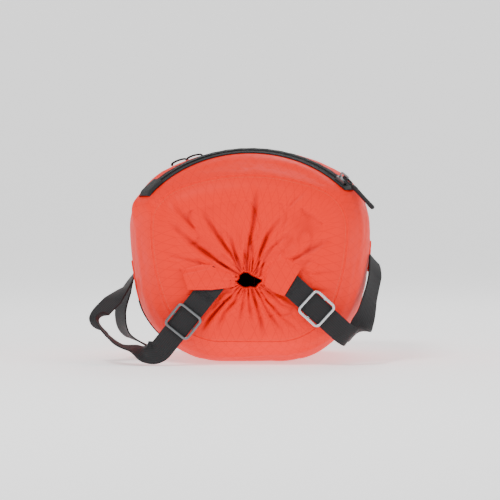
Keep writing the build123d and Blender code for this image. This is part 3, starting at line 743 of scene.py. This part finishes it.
def barrel_panel():
    columns = outline_columns(WALL_COLUMNS)

    def place(column, row):
        flat = np.minimum(row, WALL_ROWS) / WALL_ROWS
        roll = np.radians(SHOULDER_TURN * np.maximum(row - WALL_ROWS, 0) / ROLL_ROWS)
        y = np.where(row <= WALL_ROWS, REAR_SEAM_Y + (FRONT_JOIN - REAR_SEAM_Y) * flat,
                     FRONT_JOIN - SHOULDER_SWEEP * np.sin(roll))
        inset = SHOULDER_SWEEP * (1 - np.cos(roll))
        dx, dz, run = columns[3:, column]
        outward = np.stack([dx, np.zeros_like(dx), dz], -1)
        points = wall_point(columns, column, y, inset)
        last = WALL_ROWS + ROLL_ROWS
        calm = smooth_step(0, 6, row) * (1 - smooth_step(last - 7, last, row))
        to_front = np.maximum(SHOULDER_SWEEP * (math.radians(SHOULDER_TURN) - roll), 0)
        bulge = swell(points)
        bulge += seam_puckers(run, SIDE_LENGTH * flat, 1.0) + seam_puckers(run, to_front, 4.0)
        low_flank = np.exp(-((points[:, 2] - 62) / 34) ** 2) * (np.abs(points[:, 0]) > 60)
        bulge += 3.2 * low_flank * calm
        bulge += 1.1 * np.exp(-((inset - 9.5) / 3.0) ** 2)
        bulge = np.where(points[:, 2] < 4, np.minimum(bulge, 0), bulge)
        points += outward * (bulge * calm)[:, None]
        points = draw_to_zip(points)
        points[:, 2] = np.maximum(points[:, 2], 0.0)
        length = np.where(row <= WALL_ROWS, SIDE_LENGTH * flat, SIDE_LENGTH + SHOULDER_SWEEP * roll)
        return points * MM, np.stack([run, length], -1) * MM

    return cloth_grid("barrel_wall", WALL_COLUMNS, WALL_ROWS + ROLL_ROWS, place, ripstop_side,
                      closed=True)


barrel = barrel_panel()
face_outwards(barrel)
dress(barrel, "sack", "ripstop", "side_wall")

# %% [markdown]
# ## The rear end
# The closed end is a round-edged panel that the filling pushes out a little. Its rows run from
# the rear seam to one very small ring in the middle.

# %% Rear panel
REAR_ROWS, REAR_EDGE_ROWS, REAR_COLUMNS, REAR_SWEEP, REAR_PUFF = 46, 14, 360, 30.0, 4.0


def rear_end():
    columns = outline_columns(REAR_COLUMNS)

    def place(column, row):
        edge = np.radians(90 * np.minimum(row, REAR_EDGE_ROWS) / REAR_EDGE_ROWS)
        run = columns[5, column]
        points = wall_point(columns, column, REAR_SEAM_Y + REAR_SWEEP * np.sin(edge),
                            REAR_SWEEP * (1 - np.cos(edge)))
        reach = 1 - np.clip((row - REAR_EDGE_ROWS) / (REAR_ROWS - REAR_EDGE_ROWS), 0, 1) * 0.995
        points[:, 0] *= reach
        points[:, 2] = MIDDLE + (points[:, 2] - MIDDLE) * reach
        puff = np.where(row > REAR_EDGE_ROWS, REAR_PUFF * np.cos(reach * math.pi / 2), 0)
        seam_pull = smooth_step(0, 5, row)
        wrinkle = swell(points * 0.8, 1.6, 0.8) + 1.4 * seam_puckers(run, 30 * edge, 7.0)
        points[:, 1] += puff + wrinkle * seam_pull
        length = REAR_SWEEP * edge + 110 * (1 - reach)
        return points * MM, np.stack([run * reach, length], -1) * MM

    piece = cloth_grid("rear_end", REAR_COLUMNS, REAR_ROWS, place, ripstop_side, closed=True)
    edit(piece, lambda: bpy.ops.mesh.remove_doubles(threshold=0.00002))
    return piece


rear = rear_end()
face_outwards(rear)
dress(rear, "sack", "ripstop", "rear_panel")

# %% [markdown]
# ## Seam welts
# Where two panels meet, their edges are turned and stitched, which leaves a low round welt.
# A welt is a narrow tube along the outline, made from a grid that closes on itself both ways.

# %% Welts and their stitches
SEAM_COLUMNS, WELT_SIDES = 480, 10


def welt(name, y, inset, radius, material, lean, follow_zip=False):
    columns = outline_columns(SEAM_COLUMNS)

    def place(column, row):
        turn = row / WELT_SIDES * 2 * math.pi
        side, out = radius * 1.35 * np.cos(turn), radius * np.sin(turn)
        run = columns[5, column]
        pucker = 1 + 0.08 * np.sin(run * 1.9)
        y_off = side * math.cos(lean) - out * math.sin(lean)
        in_off = side * math.sin(lean) + out * math.cos(lean)
        points = wall_point(columns, column, y + y_off * pucker, inset - in_off * pucker)
        if follow_zip:
            points = draw_to_zip(points)
        points[:, 2] = np.maximum(points[:, 2], 0.05)
        return points * MM, np.stack([run, turn * radius], -1) * MM

    piece = cloth_grid(name, SEAM_COLUMNS, WELT_SIDES, place, material, closed=True)
    edit(piece, lambda: bpy.ops.mesh.normals_make_consistent(inside=False))
    return piece


front_welt = welt("front_seam_welt", SEAM_Y, SEAM_INSET, 0.55, ripstop, -math.radians(50),
                  follow_zip=True)
dress(front_welt, "sack", "seam_tape", "front_seam_piping")
rear_welt = welt("rear_seam_welt", REAR_SEAM_Y, 0.9, 1.4, ripstop_side, 0.0)
dress(rear_welt, "sack", "seam_tape", "rear_seam_binding")


def stitch_row(name, path, material, length=2.6, gap=1.1, thick=0.28):
    """Raised stitches along a path of (point, outward) pairs; one stitch is made and copied."""
    path = np.array(path, float)
    spots, outs = path[:, 0], path[:, 1]
    run = np.concatenate([[0], np.cumsum(np.linalg.norm(np.diff(spots, axis=0), axis=1))])
    clear_selection()
    bpy.ops.mesh.primitive_cylinder_add(vertices=6, radius=thick * MM, depth=length * MM,
                                        rotation=(0, math.pi / 2, 0))
    stitch = bpy.context.object
    bpy.ops.object.transform_apply(location=True, rotation=True, scale=True)
    edit(stitch, lambda: bpy.ops.mesh.bevel(offset=thick * 0.5 * MM, segments=1))
    base = point_array(stitch.data)
    faces = [tuple(p.vertices) for p in stitch.data.polygons]
    bpy.data.objects.remove(stitch)
    vertices, polygons = [], []

    def at(where, values):
        return np.array([np.interp(where, run, values[:, k]) for k in range(3)])

    place = length / 2
    while place < run[-1] - length / 2:
        middle, outward = at(place, spots), at(place, outs)
        ahead, behind = at(place + length / 2, spots), at(place - length / 2, spots)
        along = (ahead - behind) / np.linalg.norm(ahead - behind)
        across = np.cross(outward, along)
        across /= np.linalg.norm(across)
        outward = np.cross(along, across)
        turned = base[:, :1] * along + base[:, 1:2] * across + base[:, 2:] * outward
        start = len(vertices)
        vertices += list(turned + middle * MM)
        polygons += [tuple(start + v for v in face) for face in faces]
        place += length + gap
    mesh = bpy.data.meshes.new(name)
    mesh.from_pydata([tuple(v) for v in vertices], [], polygons)
    piece = bpy.data.objects.new(name, mesh)
    bpy.context.scene.collection.objects.link(piece)
    mesh.materials.append(material)
    pick(piece)
    bpy.ops.object.shade_smooth()
    return piece


def seam_path(y, inset, lift, y_lift):
    columns = outline_columns(SEAM_COLUMNS)
    dx, dz = columns[3:5]
    outward = np.stack([dx, np.full_like(dx, y_lift), dz], -1)
    outward /= np.linalg.norm(outward, axis=1)[:, None]
    points = draw_to_zip(wall_point(columns, slice(None), y, inset)) + outward * lift
    keep = points[:, 2] > 3
    return list(zip(points[keep], outward[keep]))


for stitch_name, place in (("front_seam_stitches", (-163.6, 28.7, 0.15, -1.2)),
                           ("rear_seam_stitches", (86.2, 0.0, 0.15, 0.0))):
    dress(stitch_row(stitch_name, seam_path(*place), orange_thread), "sack", "seam_tape")

# %% [markdown]
# ## The zip
# Two woven tapes carry a nylon coil. Each tape is a strip of grid on the cone with a little
# thickness. The coil is a pair of flattened helices, one sewn to each tape, that mesh in the
# middle: a curve with a round bevel gives them, turned into a mesh.

# %% Zip tapes and coil
TAPE_START, TAPE_END, TAPE_HALF, TAPE_SLIT = -53.5, 48, 11, 0.25


def sheet_on_zip(name, low, high, start, end, height, thick, columns=160, rows=6, sag=None):
    def place(column, row):
        angle = start + (end - start) * column / columns
        across = low + (high - low) * row / rows
        lift = height + (sag(angle, across) if sag else 0)
        points = zip_point(angle, across, lift * np.ones_like(across))
        uv = np.stack([across, np.radians(angle) * ZIP_RADIUS], -1)
        return points * MM, uv * MM

    piece = cloth_grid(name, columns, rows, place, zip_weave)
    face_outwards(piece, Vector((0, -0.08, 0.1)))
    finish_modifier(piece, "SOLIDIFY", thickness=thick * MM, offset=-1.0)
    return piece


def edge_wave(angle, across):
    return 0.18 * np.sin(angle * 1.1) * smooth_step(4, 11, np.abs(across))


for side, low, high in (("front", -TAPE_HALF, -TAPE_SLIT), ("rear", TAPE_SLIT, TAPE_HALF)):
    tape = sheet_on_zip(f"zip_tape_{side}_woven", low, high, TAPE_START, TAPE_END, 0.8, 0.7, sag=edge_wave)
    dress(tape, "sack", "zip_tape", f"zip_tape_{side}")


def coil(name):
    turns, steps = 150, 10
    count = turns * steps
    sides = []
    for side in (-1, 1):
        phase = np.arange(count + 1) / steps * 2 * math.pi
        angle = -49.3 + 96.1 * np.arange(count + 1) / count
        across = side * (1.05 + 1.15 * np.cos(phase + (side > 0) * math.pi))
        lift = 1.65 + 0.55 * np.sin(phase)
        points = zip_point(angle, across, lift) * MM
        curve = bpy.data.curves.new(name, "CURVE")
        curve.dimensions = "3D"
        curve.bevel_depth = 0.33 * MM
        curve.bevel_resolution = 1
        spline = curve.splines.new("POLY")
        spline.points.add(count)
        spline.points.foreach_set("co", np.c_[points, np.ones(count + 1)].ravel())
        holder = bpy.data.objects.new(name, curve)
        bpy.context.scene.collection.objects.link(holder)
        pick(holder)
        bpy.ops.object.convert(target="MESH")
        sides.append(bpy.context.object)
    piece = join(sides, name)
    recoat(piece, coil_plastic)
    bpy.ops.object.shade_smooth()
    return piece


zip_teeth = coil("zip_coil_turns")
dress(zip_teeth, "sack", "zip_coil", "zip_coil")


# %% [markdown]
# A stitched flap hides the left end of the zip and a folded tab closes the right end. Both are
# short sheets on the same cone, with rounded edges.

# %% Zip ends and stitches
def garage_rise(angle, across):
    crown = 1.1 * (1 - (np.abs(across) / 11.5) ** 4)
    tail = -2.3 * smooth_step(-52.0, -54.5, angle) - 1.6 * smooth_step(9.0, 11.5, np.abs(across))
    return crown + tail


garage = sheet_on_zip("zip_garage_flap", -11.5, 11.5, -54.5, -44.5, 3.0, 0.8, 24, 16, garage_rise)
finish_modifier(garage, "BEVEL", width=0.3 * MM, segments=2)
dress(garage, "sack", "zip_tape", "zip_garage_left")
end_tab = sheet_on_zip("zip_end_tab", -10.5, 10.5, 48.2, 50.4, 2.0, 1.9, 8, 14)
finish_modifier(end_tab, "BEVEL", width=0.5 * MM, segments=3)
dress(end_tab, "sack", "zip_tape", "zip_end_tab_right")


def zip_path(across, lift=0.95):
    angles = np.linspace(-52.5, 47.2, 200)
    spots = zip_point(angles, np.full(200, across), np.full(200, lift))
    above = zip_point(angles, np.full(200, across), np.full(200, lift + 1))
    return [(p, a - p) for p, a in zip(spots, above)]


zip_stitches = join([stitch_row("zip_stitches", zip_path(across), black_thread, 2.2, 0.9, 0.22)
                     for across in (-9.4, -7.6, 7.6, 9.4)], "zip_stitches")
dress(zip_stitches, "sack", "zip_tape")

# %% [markdown]
# ## Slider and puller
# The slider's shape is already right in the frame, so it only takes a cast grey metal. The
# grip is a moulded bar: a grid is rolled into a rounded box on the frame grip's own axes, and
# a wave along it makes the finger grooves.

# %% Slider, cord and grip
GRIP_RIBS, RIB_SPAN, RIB_DEPTH = 8, 0.62, 0.13
recoat(nodes["zip_slider"], slider_metal)
recoat(nodes["pull_loop"], cord_black)


def moulded_grip():
    grip = nodes["pull_grip"]
    corners = np.array([v.co for v in grip.data.vertices])
    middle = corners.mean(0)
    _, vectors = np.linalg.eigh(np.cov((corners - middle).T))
    along = vectors[:, 2] if vectors[0, 2] > 0 else -vectors[:, 2]
    across, lift = vectors[:, 1], np.cross(along, vectors[:, 1])
    axes = (along, across, lift)
    offsets = [(corners - middle) @ axis for axis in axes]
    spans = [np.ptp(o) for o in offsets]
    middle = middle + sum((o.max() + o.min()) / 2 * axis for o, axis in zip(offsets, axes))
    clear_selection()
    bpy.ops.mesh.primitive_grid_add(x_subdivisions=74, y_subdivisions=24, size=2)
    piece = bpy.context.object
    piece.name = piece.data.name = "pull_grip_moulded"
    flat = point_array(piece.data)
    t, turn = flat[:, 0], (flat[:, 1] + 1) * math.pi
    ends = np.clip(1 - np.abs(t) ** 14, 0, 1) ** 0.5
    wave = 0.5 - 0.5 * np.cos((t + RIB_SPAN) / (2 * RIB_SPAN) * 2 * math.pi * GRIP_RIBS)
    ribs = 1 - RIB_DEPTH * (np.abs(t) < RIB_SPAN) * wave
    waist = 0.86 + 0.14 * np.abs(t)
    box = (np.abs(np.cos(turn)) ** 4 + np.abs(np.sin(turn)) ** 4) ** -0.25
    points = (middle + t[:, None] * along * spans[0] / 2
              + (np.cos(turn) * box * ends * ribs * waist)[:, None] * across * spans[1] / 2
              + (np.sin(turn) * box * ends * ribs)[:, None] * lift * spans[2] / 2)
    piece.data.vertices.foreach_set("co", points.ravel())
    piece.data.update()
    edit(piece, lambda: bpy.ops.mesh.remove_doubles(threshold=1e-6),
         lambda: bpy.ops.mesh.normals_make_consistent(inside=False))
    bpy.ops.object.shade_smooth()
    piece.data.materials.append(rubber)
    return piece


grip_piece = moulded_grip()
dress(grip_piece, "puller", "grip", "pull_grip")

# %% [markdown]
# ## Webbing
# A strap is a flat band that bends easily one way only. Each is a grid: rows along a smooth
# curve through its stations, columns across. Solidify gives it 1.6 mm and a bevel rounds its
# woven edges, so light runs along them.

# %% Band builder
def smooth_line(points, widths, steps, lead=None):
    points = [np.array(p, float) for p in points]
    widths = [np.array(w, float) for w in widths]
    rows = []
    for i in range(len(points) - 1):
        first = points[0] if lead is None else np.array(lead, float)
        before = points[i - 1] if i else first
        start, end, after = points[i], points[i + 1], points[min(i + 2, len(points) - 1)]
        for k in range(steps + (i == len(points) - 2)):
            t = k / steps
            spot = 0.5 * (start * 2 + (end - before) * t
                          + (before * 2 - start * 5 + end * 4 - after) * t**2
                          + (start * 3 - before - end * 3 + after) * t**3)
            rows.append((spot, widths[i] * (1 - t) + widths[i + 1] * t))
    return rows


BAND_ROWS, BAND_THICK, BAND_CUP = 8, 1.6, 0.35


def strap(name, points, widths, band_width=25.0, steps=14, lead=None):
    rows = smooth_line(points, widths, steps, lead)
    spots = np.array([r[0] for r in rows])
    wide = np.array([r[1] for r in rows])
    along = np.gradient(spots, axis=0)
    if lead is not None:
        along[0] = spots[0] - np.array(lead, float)
    along /= np.linalg.norm(along, axis=1)[:, None]
    wide = wide - along * np.sum(wide * along, 1)[:, None]
    wide /= np.linalg.norm(wide, axis=1)[:, None]
    lift = np.cross(along, wide)
    run = np.concatenate([[0], np.cumsum(np.linalg.norm(np.diff(spots, axis=0), axis=1))])

    def place(column, row):
        offset = (row / BAND_ROWS - 0.5) * band_width
        cup = BAND_CUP * (1 - (2 * offset / band_width) ** 2)
        pts = spots[column] + wide[column] * offset[:, None] + lift[column] * cup[:, None]
        pts[:, 2] = np.maximum(pts[:, 2], 0.9)
        return pts * MM, np.stack([offset, run[column]], -1) * MM

    piece = cloth_grid(name, len(rows) - 1, BAND_ROWS, place, webbing)
    finish_modifier(piece, "SOLIDIFY", thickness=BAND_THICK * MM, offset=0.0)
    round_edges(piece, 0.45)
    return piece


LIFT_Y, ANCHOR_Y, END_Y, SEWN_LENGTH = -178.41, -174.31, -174.41, 27.0
RIGHT_START, RIGHT_END = np.array([46, LIFT_Y, 87.5]), np.array([100, END_Y, 38])
LEFT_START, LEFT_END = np.array([-46, LIFT_Y, 80]), np.array([-96, END_Y, 17.5])
RIGHT_SIDE, LEFT_SIDE = np.array([0.676, 0, 0.737]), np.array([-0.78, 0, 0.62])
SIDES = (("right", RIGHT_START, RIGHT_END, RIGHT_SIDE), ("left", LEFT_START, LEFT_END, LEFT_SIDE))


def sewn_end(start, end):
    back = np.array([end[0] - start[0], 0, end[2] - start[2]])
    back = back / np.linalg.norm(back) * SEWN_LENGTH
    return np.array([start[0] - back[0], ANCHOR_Y, start[2] - back[2]])


# %% Straps in front and behind
LEVEL, FOLD, FLARE = np.array([0, 1, 0]), np.array([-0.3, 0.8, 0.51]), np.array([0.54, 0.84, 0])
for label, start, end, side in SIDES:
    stub = strap(f"{label}_strap_sewn_end", [sewn_end(start, end), start], [side, side], steps=10)
    dress(stub, "sack", "webbing", f"{label}_strap_stub")
    run_piece = strap(f"{label}_strap_run", [start, end], [side, side], steps=26)
    dress(run_piece, "sack", "webbing", f"{label}_front_strap")

right_heading, left_heading = ((end - start) / np.linalg.norm(end - start) for _, start, end, _ in SIDES)
right_back = strap("right_strap_back",
                   [RIGHT_END - 0.5 * right_heading, (114, -161, 34), (126, -141, 49),
                    (133, -121, 74), (138, -108, 98), (137.4, -98, 114)],
                   [RIGHT_SIDE, RIGHT_SIDE * 0.7 + FLARE * 0.3, RIGHT_SIDE * 0.25 + FLARE * 0.75,
                    FLARE, FLARE, np.array([0.35, 1, 0])], lead=RIGHT_START)
dress(right_back, "sack", "webbing", "right_rear_strap")
left_loop = strap("left_strap_outer_loop",
                  [LEFT_END - 0.5 * left_heading, (-111, -171, 15), (-126, -164, 19), (-145, -151, 24),
                   (-161, -136, 37), (-167, -120, 51), (-153, -106, 68), (-134.5, -92, 87)],
                  [LEFT_SIDE, LEFT_SIDE * 0.65 + LEVEL * 0.35, LEFT_SIDE * 0.3 + LEVEL * 0.7, LEVEL, LEVEL,
                   FOLD, FOLD, LEVEL], lead=LEFT_END - 40 * left_heading)
dress(left_loop, "sack", "webbing", "left_outer_loop")
INNER_FLARE = np.array([-0.5, 0.84, 0.1])
left_inner = strap("left_strap_inner_loop", [(-132.2, -54, 98), (-142, -62, 74), (-146.5, -69, 50),
                                             (-139, -74, 30), (-112, -78, 14)],
                   [LEVEL, INNER_FLARE, INNER_FLARE, INNER_FLARE, LEVEL])
dress(left_inner, "sack", "webbing", "left_inner_loop")

# %% [markdown]
# ## Wings and patches
# An orange gusset folds over each sewn strap end and spreads its pull. It is a four or five
# sided flap with a turned edge, a little fuller in the middle. Patches on the flanks hold the
# straps' other ends.

# %% Orange wings over the strap ends
WING_COLUMNS, WING_ROWS = 40, 24


def wing(name, start, end, low_line, high_line):
    """Flap between two edges of (x, z) points, on the plane of the sewn strap end."""
    anchor = sewn_end(start, end)
    heading = np.array([start[0] - anchor[0], 0, start[2] - anchor[2]])
    slope = (anchor[1] - start[1]) / np.linalg.norm(heading)
    heading = heading / np.linalg.norm(heading)
    low_line, high_line = np.array(low_line, float), np.array(high_line, float)

    def along_line(line, t):
        place = t * (len(line) - 1)
        return np.stack([np.interp(place, range(len(line)), line[:, k]) for k in range(2)], -1)

    def place(column, row):
        t, s = column / WING_COLUMNS, row / WING_ROWS
        flat = along_line(low_line, t) * (1 - s)[:, None] + along_line(high_line, t) * s[:, None]
        run = (flat[:, 0] - anchor[0]) * heading[0] + (flat[:, 1] - anchor[2]) * heading[2]
        base = anchor[1] - 0.8 - 0.3 - slope * run
        edge = np.minimum(np.minimum(t, 1 - t) * 2.2, np.minimum(s, 1 - s) * 1.4)
        puff = 1.5 * smooth_step(0, 0.5, edge) + 0.7 * (1 - smooth_step(0.02, 0.10, edge))
        crease = (0.9 * np.exp(-((s - 0.35 - 0.25 * t) / 0.06) ** 2) * (1 - t)
                  + 0.7 * np.exp(-((s - 0.7 + 0.15 * t) / 0.05) ** 2))
        y = base - 0.5 - puff + crease * smooth_step(0, 0.3, edge)
        merge = np.maximum(smooth_step(0.66, 1.0, s), 1 - smooth_step(0.0, 0.16, t))
        y = y * (1 - merge) + (FACE_Y + 0.7) * merge
        pts = np.stack([flat[:, 0], y, flat[:, 1]], -1)
        return pts * MM, flat * MM

    piece = cloth_grid(name, WING_COLUMNS, WING_ROWS, place, ripstop)
    if sum(p.normal.y * p.area for p in piece.data.polygons) > 0:
        flip(piece)
    finish_modifier(piece, "SOLIDIFY", thickness=0.7 * MM, offset=-1.0)
    round_edges(piece, 0.25)
    return piece


right_wing = wing("right_wing_gusset", RIGHT_START, RIGHT_END, [(14, 90), (26, 81), (38, 76)],
                  [(14, 104), (36, 130), (60, 112)])
dress(right_wing, "sack", "ripstop", "right_wing")
left_wing = wing("left_wing_gusset", LEFT_START, LEFT_END, [(-15, 86), (-40, 83), (-66, 83)],
                 [(-15, 100), (-42, 115), (-73, 106)])
dress(left_wing, "sack", "ripstop", "left_wing")


# %% Patches and webbing sewn flat on the flanks
wall_tree = BVHTree.FromPolygons([v.co for v in barrel.data.vertices],
                                 [tuple(p.vertices) for p in barrel.data.polygons])
FLANK_COLUMNS, FLANK_ROWS = 30, 16


def flank_piece(name, side, low, high, near, far, lift, thick, material, slot, node):
    """Sheet laid on the flank between two heights and two lengths, by casting rays at the wall."""
    def place(column, row):
        z = low + (high - low) * column / FLANK_COLUMNS
        y = near + (far - near) * row / FLANK_ROWS
        points = np.stack([np.zeros_like(z), y, z], -1)
        for point in points:
            start = Vector((side * 0.3, point[1] * MM, point[2] * MM))
            hit = wall_tree.ray_cast(start, Vector((-side, 0, 0)))[0]
            point[0] = hit.x / MM + side * lift
        return points * MM, np.stack([y, z], -1) * MM

    piece = cloth_grid(name, FLANK_COLUMNS, FLANK_ROWS, place, material)
    face_outwards(piece)
    finish_modifier(piece, "SOLIDIFY", thickness=thick * MM, offset=-1.0)
    round_edges(piece, 0.3)
    return dress(piece, "sack", slot, node)


flank_piece("right_flank_patch", 1, 100, 134, -98, -60, 1.35, 1.2,
            ripstop_side, "ripstop", "right_side_patch")
flank_piece("left_flank_patch", -1, 68, 112, -102, -40, 1.35, 1.2,
            ripstop_side, "ripstop", "left_side_patch")
flank_piece("left_flank_webbing_sewn", -1, 16, 67.5, -96, -71, 1.8, 1.6,
            webbing, "webbing", "left_flank_webbing")

# %% [markdown]
# ## Lash webbing
# On the crown's left a strap is tacked down at three places and stands up between them, so a
# cord can pass. It follows the crown with a small arch in each bay.

# %% Lash loops
LASH_BAYS, LASH_START, LASH_STEP, LASH_Y, LASH_RISE = 2, -22.0, 4.4, -74.0, 3.3


def lash_loops():
    spots = []
    for k in range(LASH_BAYS * 16 + 1):
        t = k / 16
        rise = LASH_RISE * abs(math.sin(math.pi * t)) ** 0.28 + 1.0
        turn = math.radians(LASH_START + LASH_STEP * t)
        spots.append(((CROWN + rise) * math.sin(turn), LASH_Y,
                      HEIGHT - CROWN + (CROWN + rise) * math.cos(turn)))
    return strap("lash_loops", spots, [(0, 1, 0)] * len(spots), band_width=20.0, steps=2)


lash = lash_loops()
dress(lash, "sack", "webbing", "lash_webbing")

# %% [markdown]
# ## Frame pieces that keep their shape
# Buckles, liner and elastic are the right shape already. The right buckle takes a brighter
# metal colour than the left one.

# %% Materials on frame nodes
for node, material in (("right_buckle_frame", right_buckle_metal), ("left_buckle_frame", left_buckle_metal),
                       # The liner's near-black is partly the sack's dark inside and partly painted shade in
                       # the mouth.
                       ("liner", liner_black_and_shade), ("mouth_elastic", elastic)):
    recoat(nodes[node], material)
    print(node, "takes", material.name)


# %% [markdown]
# Short zigzag stitches, called bartacks, hold each strap where it carries load.

# %% Bartacks
TACK_WIDTH, TACK_DEPTH, TACK_TURNS = 20.0, 2.6, 28


def bartack(centre, along, across, outward):
    """Close zigzag of thread lying on a strap."""
    path = []
    for k in range(TACK_TURNS + 1):
        side = (k / TACK_TURNS - 0.5) * TACK_WIDTH
        reach = (0.5 if k % 2 else -0.5) * TACK_DEPTH
        path.append((centre + across * side + along * reach, outward))
    return stitch_row("tack", path, black_thread, 2.4, 0.1, 0.2)


tacks = []
for (_, start, _, side), heading in zip(SIDES, (right_heading, left_heading)):
    outward = np.cross(heading, side)
    outward = outward if outward[1] < 0 else -outward
    for reach in (2.2, 6.0):
        spot = start + heading * reach + outward * 1.25
        tacks.append(bartack(spot, heading, side, outward))
strap_tacks = join(tacks, "strap_bartacks")
dress(strap_tacks, "sack", "webbing")

# %% [markdown]
# ## Cloth facts
# This script declares no panel as a sheet with a flat size and gives no area. An area taken
# from the finished mesh's own surface times a factor is not the area of a cutting pattern, so
# the area share that comes out of it is no test of the cloth; a pattern area should be used.
# The area given with it is the finished mesh's own surface times a factor, not the area of a
# cutting pattern, so the area share that comes out of it is no test of the cloth.


# %% [markdown]
# ## Studio
# A pale floor curves up behind the sack. One soft light comes from above and in front, a weaker
# one from the right and one from behind, and a white surround keeps the shadows open.

# %% Floor, lights and camera
def studio_floor():
    clear_selection()
    bpy.ops.mesh.primitive_grid_add(x_subdivisions=2, y_subdivisions=40, size=2)
    floor = bpy.context.object
    floor.name = floor.data.name = "studio_floor"
    for vertex in floor.data.vertices:
        t = (vertex.co.y + 1) / 2
        bend = max(0.0, (t - 0.6) / 0.4)
        vertex.co.y = -4 + 6.5 * min(t, 0.6) / 0.6 + 1.5 * math.sin(bend * math.pi / 2)
        vertex.co.z = 2.5 * (1 - math.cos(bend * math.pi / 2)) - 0.0002
        vertex.co.x *= 6
    bpy.ops.object.shade_smooth()
    material, tree, shader = new_material("studio_paper", 0.9)
    place = tree.nodes.new("ShaderNodeTexCoord").outputs["Object"]
    tone = use_group(tree, DRIFT, place, Scale=3.0)
    paper = mix_colour(tree, tone.outputs[0], (0.93, 0.93, 0.93), (0.96, 0.96, 0.96))
    tree.links.new(paper, shader.inputs["Base Color"])
    shader.inputs["Emission Color"].default_value = (1, 1, 1, 1)
    shader.inputs["Emission Strength"].default_value = 0.65
    floor.data.materials.append(material)
    floor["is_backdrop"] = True


def soft_light(name, place, aim, size, power):
    light = bpy.data.lights.new(name, "AREA")
    light.shape, light.size, light.energy = "DISK", size, power
    holder = bpy.data.objects.new(name, light)
    bpy.context.scene.collection.objects.link(holder)
    holder.location = place
    holder.rotation_euler = (Vector(aim) - Vector(place)).to_track_quat("-Z", "Y").to_euler()


studio_floor()
world = bpy.data.worlds.new("studio_surround")
bpy.context.scene.world = world
world.use_nodes = True
surround = world.node_tree.nodes["Background"]
surround.inputs[0].default_value = (1, 1, 1, 1)
surround.inputs[1].default_value = 0.62
soft_light("key_light", (-0.6, -1.2, 1.7), (0, -0.1, 0.1), 0.55, 24)
soft_light("fill_light", (1.4, -1.0, 0.8), (0, -0.1, 0.1), 1.0, 7)
soft_light("rim_light", (0.3, 1.2, 1.5), (0, 0, 0.15), 0.9, 10)

CAMERA_AIM = Vector((-0.0005, -0.1, 0.124))
CAMERA_DISTANCE, FRAME_WIDTH = 3.0, 0.555
azimuth, elevation = math.radians(1.2), math.radians(1.5)
camera = bpy.data.objects.new("camera", bpy.data.cameras.new("camera"))
bpy.context.scene.collection.objects.link(camera)
direction = Vector((math.sin(azimuth) * math.cos(elevation),
                    -math.cos(azimuth) * math.cos(elevation), math.sin(elevation)))
camera.location = CAMERA_AIM + direction * CAMERA_DISTANCE
camera.rotation_euler = (-direction).to_track_quat("-Z", "Y").to_euler()
camera.data.sensor_width = 36
camera.data.lens = 36 * CAMERA_DISTANCE / FRAME_WIDTH
camera.data.clip_end = 50
bpy.context.scene.camera = camera
print("lens in mm", round(camera.data.lens, 1))

# %% Sizes
low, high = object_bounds()
